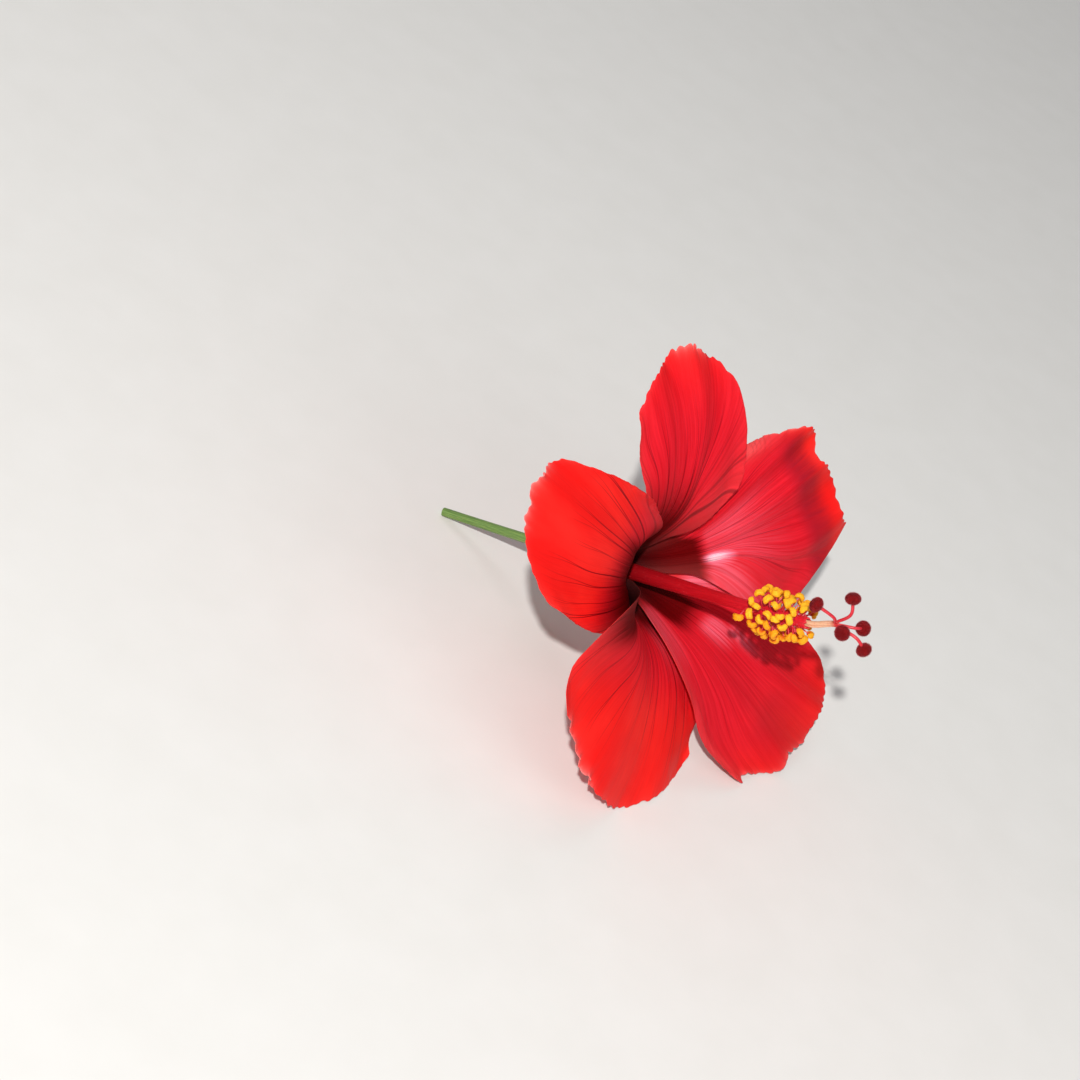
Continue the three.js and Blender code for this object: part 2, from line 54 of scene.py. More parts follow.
SEED = 7


def put(name, data):
    """A new object in the scene."""
    made = bpy.data.objects.new(name, data)
    bpy.context.scene.collection.objects.link(made)
    return made


# ---- Camera, at the photograph's angle ----
CAMERA_PLACE = Vector((-34.39, -563.88, 447.32)) * MM
CAMERA_RIGHT = Vector((0.8373, 0.3240, 0.4403))
CAMERA_UP = Vector((-0.5467, 0.4962, 0.6745))
CAMERA_BACK = Vector((0.0, -0.8055, 0.5926))
CAMERA_LENS, CAMERA_SENSOR = 83.33, 36
CAMERA_NEAR, CAMERA_FAR = 0.01, 20

camera = put("camera", bpy.data.cameras.new("camera"))
camera.data.lens = CAMERA_LENS
camera.data.sensor_width = CAMERA_SENSOR
camera.data.clip_start = CAMERA_NEAR
camera.data.clip_end = CAMERA_FAR
camera.matrix_world = Matrix.Translation(CAMERA_PLACE) @ (
    Matrix((CAMERA_RIGHT, CAMERA_UP, CAMERA_BACK)).transposed().to_4x4()
)
bpy.context.scene.camera = camera


# ---- Helpers for shapes ----
def rise(x, low, high):
    """0 below low, 1 above high, and a smooth rise between them."""
    t = np.clip((np.asarray(x, float) - low) / (high - low), 0, 1)
    return t * t * (3 - 2 * t)


def within(x, low, high, soft):
    """1 between low and high and 0 outside, with soft ends."""
    return rise(x, low - soft, low + soft) * (1 - rise(x, high - soft, high + soft))


def bell(x, middle, width):
    """1 in the middle, and a smooth fall on both sides of it."""
    return np.exp(-(((x - middle) / width) ** 2))


def lerp(a, b, t):
    return a + (b - a) * t


def polar(radius, azimuth, height):
    """Points in the flower's frame from their distance to the axis, azimuth and height."""
    angle = np.radians(azimuth)
    parts = np.broadcast_arrays(radius * np.sin(angle), radius * np.cos(angle), height)
    return np.stack(parts, -1).astype(float)


def unit(vectors):
    return vectors / np.maximum(np.linalg.norm(vectors, axis=-1, keepdims=True), 1e-12)


def all_round(sides):
    """Even angles round a circle, in radians."""
    return 2 * np.pi * np.arange(sides) / sides


def turned_to(direction):
    """The turn that takes Z to a direction."""
    return np.array(Vector(direction).to_track_quat("Z", "Y").to_matrix())


def draws(seed):
    """A run of pseudo-random numbers from 0 to 1, the same one that the CAD source draws."""
    state = seed
    while True:
        state = (state * 48271) % 2147483647
        yield state / 2147483647


def make(name, points, faces, material, values, uv=None):
    """A smooth mesh object from points in the flower's frame, with vectors kept at its points."""
    mesh = bpy.data.meshes.new(name)
    place = np.array(POSE)
    world = (points @ place[:3, :3].T + place[:3, 3]) * MM
    mesh.from_pydata(world.tolist(), [], [list(f) for f in faces])
    mesh.polygons.foreach_set("use_smooth", np.ones(len(mesh.polygons), bool))
    for key, vectors in values.items():
        kept = mesh.attributes.new(key, "FLOAT_VECTOR", "POINT")
        kept.data.foreach_set("vector", np.float32(vectors).ravel())
    if uv is not None:
        mesh.uv_layers.new(name="OFBake").data.foreach_set("uv", np.float32(uv).ravel())
    mesh.materials.append(material)
    mesh.validate()
    return put(name, mesh)


def dress(piece, slot, *nodes):
    """The piece rides with the flower and stands for the CAD nodes, which it hides. slot is not
    used.
    """
    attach(piece, "root")
    if nodes:
        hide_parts(*nodes)


def grid_faces(rows, columns, start=0, closed=False, flip=False):
    """Quads over a grid of points, row after row. closed joins each row's end to its start."""
    width = columns if closed else columns + 1
    row, column = np.meshgrid(np.arange(rows), np.arange(columns), indexing="ij")
    here = start + row * width + column
    beside = start + row * width + (column + 1) % width
    quads = np.stack([here, beside, beside + width, here + width], -1).reshape(-1, 4)
    return quads[:, ::-1] if flip else quads


def sheet_faces(rows, columns):
    """Faces over a front grid, over the back grid after it, and all round between their edges."""
    count = (rows + 1) * (columns + 1)
    fronts = grid_faces(rows, columns)
    backs = grid_faces(rows, columns, start=count, flip=True)
    edge = np.arange(count).reshape(rows + 1, columns + 1)
    rim = np.concatenate([edge[0, :-1], edge[:-1, -1], edge[-1, :0:-1], edge[:0:-1, 0]])
    onward = np.roll(rim, -1)
    return fronts, backs, np.stack([rim, rim + count, onward + count, onward], -1)


def turned_faces(rings, sides):
    """Faces over rings of points, one ring after the other, with the first and last ring filled."""
    faces = [tuple(f) for f in grid_faces(rings - 1, sides, closed=True, flip=True)]
    last = range((rings - 1) * sides, rings * sides)
    return [*faces, tuple(range(sides)), tuple(last)[::-1]]


def capped_faces(rings, sides):
    """Faces over rings of points, and a fan from each end ring to a point of its own."""
    faces = [tuple(f) for f in grid_faces(rings - 1, sides, closed=True)]
    first, last, top = rings * sides, rings * sides + 1, (rings - 1) * sides
    faces += [(first, (k + 1) % sides, k) for k in range(sides)]
    faces += [(last, top + k, top + (k + 1) % sides) for k in range(sides)]
    return faces


class Bundle:
    """Several closed shapes gathered into one mesh."""

    def __init__(self):
        self.points, self.faces, self.values, self.count = [], [], [], 0

    def add(self, points, faces, values=None):
        """values is one row of three numbers for each point, kept as the attribute 'grain'."""
        self.points.append(points)
        self.faces += [tuple(int(i) + self.count for i in f) for f in faces]
        self.values.append(np.zeros_like(points) if values is None else values)
        self.count += len(points)

    def make(self, name, material):
        grain = np.concatenate(self.values)
        return make(name, np.concatenate(self.points), self.faces, material, {"grain": grain})


TUBE_SIDEWAYS = (0.31, 0.87, 0.38)
TUBE_END = 0.6


def tube(path, radii, sides, round_ends=True, flute=None):
    """A closed tube along a path, with (place along, place round, 1 at the end points) of each."""
    path = np.asarray(path, float)
    along = unit(np.gradient(path, axis=0))
    normal = np.cross(along[0], TUBE_SIDEWAYS)
    rings, places = [], []
    steps = len(path)
    angle = all_round(sides)
    for i in range(steps):
        part = i / (steps - 1)
        normal = unit(normal - along[i] * (normal @ along[i]))
        across = np.cross(along[i], normal)
        radius = np.full(sides, float(radii[i]))
        if flute is not None:
            radius = radius * flute(part, angle)
        ring = np.cos(angle)[:, None] * normal + np.sin(angle)[:, None] * across
        rings.append(path[i] + radius[:, None] * ring)
        places.append(np.stack([np.full(sides, part), angle / (2 * np.pi), np.zeros(sides)], -1))
    bulge = TUBE_END if round_ends else 0.0
    first = path[0] - along[0] * radii[0] * bulge
    last = path[-1] + along[-1] * radii[-1] * bulge
    points = np.concatenate([*rings, [first, last]])
    return points, capped_faces(steps, sides), np.concatenate([*places, [[0, 0, 1], [1, 0, 1]]])


def spline(knots, count):
    """Points on a smooth curve through the knots (Catmull-Rom)."""
    knots = np.asarray(knots, float)
    padded = np.concatenate([[2 * knots[0] - knots[1]], knots, [2 * knots[-1] - knots[-2]]])
    t = np.linspace(0, len(knots) - 1, count)
    i = np.minimum(t.astype(int), len(knots) - 2)
    f = (t - i)[:, None]
    a, b, c, d = (padded[i + k] for k in range(4))
    square, cube = 2 * a - 5 * b + 4 * c - d, 3 * b - a - 3 * c + d
    return 0.5 * (2 * b + (c - a) * f + square * f**2 + cube * f**3)


# ---- Helpers for materials ----
class Net:
    """Short names for the nodes of one material."""

    def __init__(self, name):
        self.material = bpy.data.materials.new(name)
        self.material.use_nodes = True
        self.tree = self.material.node_tree
        self.tree.nodes.clear()

    def node(self, kind, inputs, **settings):
        node = self.tree.nodes.new("ShaderNode" + kind)
        for key, value in settings.items():
            setattr(node, key, value)
        for key, value in inputs.items():
            if isinstance(value, bpy.types.NodeSocket):
                self.tree.links.new(node.inputs[key], value)
            else:
                node.inputs[key].default_value = value
        return node

    def math(self, operation, *values):
        return self.node("Math", dict(enumerate(values)), operation=operation).outputs[0]

    def add(self, a, b):
        return self.math("ADD", a, b)

    def sub(self, a, b):
        return self.math("SUBTRACT", a, b)

    def mul(self, *values):
        product = values[0]
        for value in values[1:]:
            product = self.math("MULTIPLY", product, value)
        return product

    def rise(self, x, low, high, start=0.0, end=1.0):
        """start below low, end above high, and a smooth change between them."""
        names = ("Value", "From Min", "From Max", "To Min", "To Max")
        inputs = dict(zip(names, (x, low, high, start, end)))
        return self.node("MapRange", inputs, interpolation_type="SMOOTHSTEP").outputs[0]

    def parts(self, vector):
        return self.node("SeparateXYZ", {0: vector}).outputs

    def join(self, x, y, z):
        return self.node("CombineXYZ", {0: x, 1: y, 2: z}).outputs[0]

    def kept(self, name):
        """The three numbers that a mesh keeps at its points under a name."""
        return self.parts(self.node("Attribute", {}, attribute_name=name).outputs["Vector"])

    def noise(self, vector, scale, detail=3.0, rough=0.5):
        inputs = {"Vector": vector, "Scale": scale, "Detail": detail, "Roughness": rough}
        return self.node("TexNoise", inputs).outputs[0]

    def cells(self, vector, scale, feature="F1"):
        inputs = {"Vector": vector, "Scale": scale}
        return self.node("TexVoronoi", inputs, feature=feature).outputs[0]

    def place(self):
        """Where a point is, in metres: every piece's object sits at the origin."""
        return self.node("TexCoord", {}).outputs["Object"]

    def mix(self, factor, a, b):
        return self.node("Mix", {0: factor, 6: a, 7: b}, data_type="RGBA").outputs[2]

    def bump(self, height, strength, distance, under=None):
        inputs = {"Height": height, "Strength": strength, "Distance": distance}
        if under is not None:
            inputs["Normal"] = under
        return self.node("Bump", inputs).outputs[0]

    def finish(self, tone, rough, normal=None, soft=None, **inputs):
        """The material. soft is how much light goes in, how far of each colour, and the scale."""
        inputs.update(Base_Color=tone, Roughness=rough)
        if normal is not None:
            inputs["Normal"] = normal
        if soft is not None:
            inputs.update(zip(("Subsurface_Weight", "Subsurface_Radius", "Subsurface_Scale"), soft))
        shader = self.node("BsdfPrincipled", {k.replace("_", " "): v for k, v in inputs.items()})
        output = self.node("OutputMaterial", {"Surface": shader.outputs[0]})
        output.is_active_output = True
        return self.material


def colour(red, green, blue):
    """A colour as the screen shows it, from 0 to 255, for a shader."""
    parts = [c / 255 for c in (red, green, blue)]
    return (*[c / 12.92 if c <= 0.04045 else ((c + 0.055) / 1.055) ** 2.4 for c in parts], 1.0)


# ---- Petals ----
# A petal's own places: u goes along it, from 0 at the foot to 1 at the rim, and v across it, from
# -1 on the side that lies under its neighbour to 1 on the side that laps over the other one.
#
# As in the CAD source:
#   foot, azimuth   where the petal starts round the axis, and where its blade points
#   length          from foot to rim
#   blade, tip      how far the blade and its end lean away from the axis, in degrees
#   camber, sweep   how the blade is cupped, and how it bends sideways
#   over, under     the two sides, each (width, sector, flare, shoulder, fullness, roundness)
#   lobes           where the rim stands out or back, each (place, size, width)
#   folds, ripples  waves over the blade and along its sides, each (height, waves, phase)
# The over sides of the two lower petals are wider than in the solids, and the left petal has a
# tuck, so that no slit shows beside the column. The lower right petal's first lobe, its tooth, is
# blunter.
#
# In this scene alone:
#   rim             corrections of the rim, at RIM_PLACES
#   bulges          corrections of the over side's edge, each (place, size, width)
#   frills          stretches of the rim that are frilled, each (from, to, strength)
#   tuck            a hollow over the throat, pressed towards the axis (depth, azimuth, width)
#   veins           how they lean, how they spread, and how dark they are
#   eye             where the dark eye ends, how softly, and what is added under and over
#   blush           where crimson gives way to scarlet (from, to)
#   glow, valleys   painted highlights and painted shade, each (u from, u to, v from, v to, strength)
#   dusk            painted shade: how dark the back of the flap in the throat is
PETAL_HAS_NONE = dict(lobes=[], bulges=[], tuck=None, painted_sheen=[], painted_shade_bands=[], painted_flap_shade=0.0)
PETALS = [
    dict(
        name="petal_top", foot=-8, azimuth=-9.5, length=91, blade=75, tip=116,
        camber=-0.004, sweep=-0.015,
        over=(25, 25, 1.45, 0.59, 3, 1.9), under=(25, 46, -0.28, 0.81, 1.9, 1.25),
        lobes=[(0.42, -2.1, 0.13)], folds=(1.1, 2.6, 0.6), ripples=(1.0, 3.2, 1.0),
        rim=(-0.3, 0.2, -0.1, -0.1, -0.4, -1.1, -0.6, -0.3, 0.1, 0.5,
            -0.3, -0.2, -0.5, 0.3, 1.1, -0.4, 0.2, 0.6, 1.4, 1.0),
        frills=[(-0.17, 0.39, 0.6)],
        veins=(0.35, 1.2, 0.8), eye=(0.515, 0.16, 0.0, -0.13), blush=(0.62, 1.25),
    ),
    dict(
        name="petal_right", foot=64, azimuth=57.5, length=87, blade=79, tip=88,
        camber=-0.01, sweep=-0.05,
        over=(34, 28, 1.5, 0.75, 2.4, 1.9), under=(29.5, 55, -0.205, 0.68, 2.9, 2),
        lobes=[(-0.52, 1.2, 0.2), (-0.2, -6.5, 0.14), (0.82, 10.5, 0.2)],
        folds=(1.6, 3.1, 2.2), ripples=(1.3, 3.6, 0.2),
        rim=(-1.8, -0.2, 0.3, 0.3, -0.5, -0.3, 1.3, 1.8, 1.2, -1.4,
            -2.3, -0.6, 0.8, 0.3, 0.0, -0.8, -2.3, -2.0, 0.7, -2.0),
        bulges=[(0.9, 3.0, 0.06)], frills=[(-0.98, -0.72, 0.7)],
        veins=(0.35, 0.5, 0.5), eye=(0.425, 0.03, -0.06, 0.0), blush=(0.78, 0.95),
        painted_sheen=[
            (0.43, 0.57, 0.42, 0.88, 1.7),
            (0.43, 0.90, -0.6, 0.9, 0.36),
            (0.42, 0.64, 0.85, 1.2, 0.5),
        ],
        painted_shade_bands=[(0.82, 0.925, -0.75, 0.98, 1.0)],
    ),
    dict(
        name="petal_lower_right", foot=136, azimuth=136, length=99.5, blade=77.5, tip=86.5,
        camber=-0.006, sweep=-0.16,
        over=(35, 64, -0.2575, 0.78, 2.1, 1.7), under=(28, 68, -0.395, 0.7, 2.7, 2.05),
        lobes=[(0.975, 6.0, 0.045), (0.36, -4.5, 0.13), (-0.2, -3.0, 0.2)],
        folds=(1.5, 2.8, 4.0), ripples=(1.1, 3.0, 2.4),
        rim=(2.5, 2.2, 2.0, 2.4, 1.6, -0.5, -0.6, -0.6, 0.1, 0.8,
            0.0, 0.1, 0.0, 0.6, -0.1, 0.1, 1.2, -0.3, -1.9, -1.2),
        frills=[(0.05, 0.98, 0.3)],
        veins=(0.2, 0.8, 0.25), eye=(0.385, 0.05, -0.15, -0.13), blush=(0.55, 1.15),
        painted_sheen=[
            (0.41, 0.60, -0.32, 0.12, 0.5),
            (0.48, 0.74, -0.42, -0.18, 0.45),
            (0.29, 0.60, -1.2, -0.84, 0.7),
            (0.26, 0.56, 0.62, 1.2, 0.36),
        ],
        painted_shade_bands=[(0.76, 1.1, -0.2, 0.6, 0.35)],
    ),
    dict(
        name="petal_lower_left", foot=208, azimuth=198.5, length=88, blade=71.5, tip=95,
        camber=-0.002, sweep=-0.03,
        over=(48, 62, 0.707, 0.74, 1.85, 1.2), under=(39.5, 84, -0.15, 0.71, 1.25, 1.4),
        folds=(1.2, 2.4, 5.4), ripples=(1.2, 3.4, 4.1),
        rim=(1.2, 2.1, 1.4, 0.7, 0.7, -0.1, 0.3, 0.1, 0.0, -0.4,
            -0.8, -0.4, -0.3, -0.1, 0.8, 0.4, -0.2, -0.4, -1.6, 0.0),
        frills=[(0.44, 0.86, 0.9)],
        veins=(0.45, 0.8, 0.9), eye=(0.37, 0.07, 0.0, 0.17), blush=(0.42, 0.8),
        painted_sheen=[(0.34, 0.66, -1.2, -0.35, 0.3)], painted_flap_shade=1.0,
    ),
    dict(
        name="petal_left", foot=280, azimuth=276, length=99, blade=74, tip=96,
        camber=-0.004, sweep=0.228,
        over=(26, 44, -0.16, 0.61, 1.9, 1.8), under=(24, 64, -0.13, 0.8, 1.7, 1.95),
        folds=(1.0, 2.2, 1.4), ripples=(1.0, 3.0, 3.2),
        rim=(-1.6, -0.2, 0.1, -0.2, -0.2, -0.2, 0.1, 0.0, 0.4, 0.2,
            -0.6, -0.3, -0.7, -1.0, -0.6, -0.3, -0.3, -1.5, -3.0, -3.0),
        frills=[(-0.5, 0.36, 0.9)], tuck=(2.0, 250, 16),
        veins=(-0.45, 1.2, 1.0), eye=(0.52, 0.11, 0.0, -0.14), blush=(0.42, 0.68),
    ),
]
RIM_PLACES = np.linspace(-0.95, 0.95, 20)
PETAL_ROWS, PETAL_COLUMNS = 120, 320
FOOT_RADIUS, FOOT_SECTOR = 4.2, 30.4
FOOT_SLOPE, THROAT_SLOPE = 5, 38
MERIDIAN_STEP = 0.5
TEETH = 46  # turns of the rim's waves for each radian round the petal
TOOTH, NOTCH, CURL = 0.08, 1.5, 1.9
THICK_FOOT, THICK_RIM = 0.30, 0.17
VEINS, FINE_VEINS = 6.0, 21.0
VEIN_JITTER, VEIN_FORK, VEIN_TWIG = 0.36, 0.21, 0.09
FORK_FROM, FORK_SPREAD = 0.42, 0.22
GOLDEN = 0.618034


def meridian(petal):
    """The line up the middle of a petal, as slope, radius and height at a distance along it."""

    def slope(s):
        blade, tip = petal["blade"], petal["tip"]
        bend = FOOT_SLOPE + (THROAT_SLOPE - FOOT_SLOPE) * rise(s, 9, 32)
        bend = bend + (blade - THROAT_SLOPE) * rise(s, 30, 56)
        return np.radians(bend + (tip - blade) * rise(s, 48, petal["length"]))

    steps = int(1.15 * petal["length"] / MERIDIAN_STEP) + 1
    turns = slope((np.arange(steps) + 0.5) * MERIDIAN_STEP)
    radii = FOOT_RADIUS + np.concatenate([[0], np.cumsum(MERIDIAN_STEP * np.sin(turns))])
    heights = np.concatenate([[0], np.cumsum(MERIDIAN_STEP * np.cos(turns))])
    marks = np.arange(steps + 1) * MERIDIAN_STEP
    return lambda s: (slope(s), np.interp(s, marks, radii), np.interp(s, marks, heights))


def petal_outline(petal, line, u, v):
    """How wide the petal is on its side of the middle, and how far it reaches."""
    width, sector, flare, shoulder, fullness, roundness = (
        np.where(v > 0, over, under) for over, under in zip(petal["over"], petal["under"])
    )
    beyond = np.maximum(0, (u - 0.6) / 0.4)
    s = petal["length"] * (u - 0.2 * beyond**2) * shoulder
    spread = np.radians(lerp(FOOT_SECTOR, sector, rise(s, 10, 31)))
    room = line(s)[1] * spread * (1 + flare * rise(s, 30, 52))
    half_width = room * width / (room**5 + width**5) ** 0.2
    crown = np.maximum(0, 1 - np.abs(v) ** fullness) ** (1 / roundness)
    reach = petal["length"] * (shoulder + (1 - shoulder) * crown)
    for at, size, wide in petal["lobes"]:
        reach = reach + size * bell(v, at, wide)
    reach = reach + 0.5 * np.sin(13 * np.pi * v) * np.cos(5.4 * np.pi * v)
    return half_width, reach + np.interp(v, RIM_PLACES, petal["rim"])


def petal_rim(index, petal, u, v, half_width, reach):
    """Each point's place along and across, its wave, its distance to the rim and its frill."""
    s, across = u * reach, v * half_width
    for at, size, wide in petal["bulges"]:
        across = across + size * rise(v, 0.7, 1.0) * bell(u, at, wide)
    to_end = np.maximum(1e-3, (1 - u) * reach)
    to_side = np.maximum(1e-3, (1 - np.abs(v)) * half_width)
    to_rim = (to_end**-4 + to_side**-4) ** -0.25
    frill = np.zeros_like(u)
    for low, high, strength in petal["frills"]:
        frill = np.maximum(frill, strength * within(v, low, high, 0.08) * rise(u, 0.7, 0.9))

    # Fine teeth all round, and deeper notches where the rim is frilled.
    round_rim = np.arctan2(across, s - 0.5 * petal["length"])
    q = TEETH * round_rim + index * 1.7
    wobble = np.sin(0.83 * q + 1.3) + 0.7 * np.sin(1.7 * q + 2 * np.sin(0.5 * q))
    wobble = wobble + 0.4 * np.sin(4.3 * q)
    scallop = np.abs(np.sin(1.32 * q + 0.9 * np.sin(0.23 * q + 1)))
    depth = 0.35 + 0.65 * np.sin(0.41 * q + index) ** 2
    teeth = -TOOTH * (2.1 + wobble) * rise(u, 0.5, 0.8)
    teeth = (teeth - NOTCH * frill * depth * (1 - scallop) ** 1.5) * np.exp(-to_rim / 1.5)
    s = s + teeth * np.cos(round_rim)
    across = across + teeth * np.sin(round_rim)

    # Folds over the blade, ripples along its sides, ruffles by the rim and curled-up teeth.
    height, waves, phase = petal["folds"]
    wave = height * u**2.5 * np.sin(np.pi * waves * v + phase)
    height, waves, phase = petal["ripples"]
    wave = wave + height * u**2 * np.abs(v) ** 5 * np.sin(2 * np.pi * waves * u + phase)
    ruffle = np.exp(-to_rim / 4.5) * (0.3 + frill) * rise(u, 0.8, 0.97)
    wave = wave + 0.4 * ruffle * (np.sin(0.62 * q + 2.1) + 0.6 * np.sin(1.07 * q + 0.4))
    curl = np.exp(-to_rim / 1.1) * frill
    wave = wave + CURL * curl * scallop * (0.65 + 0.35 * np.sin(0.9 * q))
    return s, across, wave, to_rim, frill


def petal_middle(petal, line, s, across, wave):
    """The blade's middle surface, curved as in the CAD source but for the tuck."""
    part = s / petal["length"]
    slope, radius, up = line(s)
    bend = np.cos(slope) / radius * (1 - rise(part, 0.35, 0.8))
    bend = bend + petal["camber"] * rise(part, 0.3, 0.8)
    tilt = lerp(0.22, 0.15, rise(s, 20, 48))
    lift = (1 - np.cos(bend * across)) / bend + tilt * across + wave
    shift = np.sin(bend * across) / bend + petal["sweep"] * part**2 * petal["length"]
    azimuth = lerp(petal["foot"], petal["azimuth"], rise(s, 12, 50))
    middle = polar(radius - np.cos(slope) * lift, azimuth, up + np.sin(slope) * lift)
    middle = middle + polar(shift, azimuth + 90, 0)
    if petal["tuck"]:
        depth, at, wide = petal["tuck"]
        turn = np.degrees(np.arctan2(middle[..., 0], middle[..., 1])) % 360
        depth = depth * np.exp(-np.abs((turn - at) / wide) ** 3)
        depth = depth * rise(s, 22, 32) * (1 - rise(s, 42, 54))
        middle = middle - polar(depth, turn, 0)
    return middle


def vein_place(petal, u, v, half_width):
    """Where a point lies across the fan of veins, and how many millimetres one unit of that is."""
    skew, spread, _ = petal["veins"]
    beyond = np.maximum(0, u - 0.4)
    bend = beyond**2 / (beyond + 0.15)
    w = (v - skew * bend) / (1 + spread * bend)
    w = w + 0.012 * np.sin(9 * u + 7 * v) + 0.006 * np.sin(21 * u - 11 * v + 2)
    return w, half_width * (1 + spread * bend)


def vein_lines(w, u, scale, seed):
    """1 on a forking vein and 0 between them. The material draws the same lines."""
    x = w * VEINS + seed
    cell = np.floor(x)
    r = (cell * GOLDEN) % 1.0
    start = FORK_FROM + FORK_SPREAD * r
    aside = np.abs(x - cell - 0.5 + (r - 0.5) * VEIN_JITTER)
    side = aside - VEIN_FORK * rise(u, start, start + 0.5)
    away = np.abs(np.abs(side) - VEIN_TWIG * rise(u, start + 0.25, start + 0.75)) * scale / VEINS
    return 1 - rise(away, 0.08, lerp(0.6, 0.4, u))


def petal_paint(index, petal, u, v, part, to_rim, frill, w, scale):
    """What the material reads at each point, for the face and then for the back."""

    def kept(*parts):
        return np.stack([np.tile(np.broadcast_to(p, u.shape).ravel(), 2) for p in parts], -1)

    eye_edge, eye_blur, lean_under, lean_over = petal["eye"]
    inward = eye_edge + lean_under * rise(-v, 0.3, 0.85) + lean_over * rise(v, 0.3, 0.85) - part
    painted_sheen, painted_shade_band = np.zeros_like(u), np.zeros_like(u)
    # Patches of painted highlight (sheen) over the petal.
    for u_from, u_to, v_from, v_to, strength in petal["painted_sheen"]:
        patch = rise(part, u_from - 0.03, u_from + 0.03)
        patch = patch * (1 - rise(part, lerp(u_from, u_to, 0.2), u_to))
        painted_sheen = np.maximum(painted_sheen, strength * patch * within(v, v_from, v_to, 0.16))
    # Bands of painted shade over the blade.
    for u_from, u_to, v_from, v_to, strength in petal["painted_shade_bands"]:
        patch = within(part, u_from, u_to, 0.04) * within(v, v_from, v_to, 0.15)
        painted_shade_band = np.maximum(painted_shade_band, strength * patch)
    # Painted shade on the back of the flap that stands in the throat.
    painted_flap_shade = petal["painted_flap_shade"] * rise(v, 0.55, 0.75) * (1 - rise(part, 0.44, 0.56))
    values = {
        "fan": kept(w, part, float(index)),
        "rim": kept(np.exp(-to_rim / 1.2), 0.0, scale),
        "zones": kept(inward / eye_blur, frill, v),
        "paint": kept(painted_sheen, rise(part, *petal["blush"]), petal["veins"][2]),
        "painted_shades": kept(painted_flap_shade, painted_shade_band, 0.0),
    }
    values["rim"][u.size :, 1] = 1.0  # 0 on the face, 1 on the back
    return values


def petal_uv(u, b, fronts, backs, rims):
    """Face and back side by side on the UV map, and the rim in a strip above them."""
    x, y = np.broadcast_arrays(0.01 + 0.48 * b, 0.01 + 0.95 * u)
    face, back = np.stack([x, y], -1), np.stack([1 - x, y], -1)
    flat = np.concatenate([face.reshape(-1, 2), back.reshape(-1, 2)])
    strip = 0.01 + 0.98 * np.arange(len(rims) + 1) / len(rims)
    low, high = np.full(len(rims), 0.975), np.full(len(rims), 0.99)
    corners = [(strip[:-1], low), (strip[:-1], high), (strip[1:], high), (strip[1:], low)]
    rim_uv = np.stack([np.stack(c, -1) for c in corners], 1).reshape(-1, 2)
    return np.concatenate([flat[fronts.ravel()], flat[backs.ravel()], rim_uv])


def petal_mesh(index, petal, material):
    line = meridian(petal)
    a = np.linspace(0, 1, PETAL_ROWS + 1)[:, None]
    b = np.linspace(0, 1, PETAL_COLUMNS + 1)[None, :]
    u, v = np.broadcast_arrays(1 - (1 - a) ** 1.2, np.sin(np.pi * (b - 0.5)))
    half_width, reach = petal_outline(petal, line, u, v)
    s, across, wave, to_rim, frill = petal_rim(index, petal, u, v, half_width, reach)
    middle = petal_middle(petal, line, s, across, wave)

    # Thickness, with sunken veins and soft pleats on the face and raised veins on the back.
    normal = unit(np.cross(np.gradient(middle, axis=1), np.gradient(middle, axis=0)))
    part = s / petal["length"]
    w, scale = vein_place(petal, part, v, half_width)
    vein = vein_lines(w, part, scale, index) * (1 - rise(part, 0.55, 0.95)) * rise(to_rim, 0, 4)
    pleat = np.cos(2 * np.pi * w * VEINS * 1.5) * rise(part, 0.2, 0.38)
    pleat = pleat * (1 - rise(part, 0.45, 0.9)) * rise(to_rim, 0, 5)
    thick = lerp(THICK_FOOT, THICK_RIM, rise(u, 0.1, 0.9)) * lerp(0.4, 1, rise(to_rim, 0, 1.2))
    face = middle + normal * (thick - 0.05 * vein + 0.015 * pleat)[..., None]
    back = middle - normal * (thick + 0.11 * vein - 0.03 * pleat)[..., None]
    points = np.concatenate([face.reshape(-1, 3), back.reshape(-1, 3)])

    parts = sheet_faces(PETAL_ROWS, PETAL_COLUMNS)
    values = petal_paint(index, petal, u, v, part, to_rim, frill, w, scale)
    uv = petal_uv(u, b, *parts)
    return make(petal["name"] + "_blade", points, np.concatenate(parts), material, values, uv)


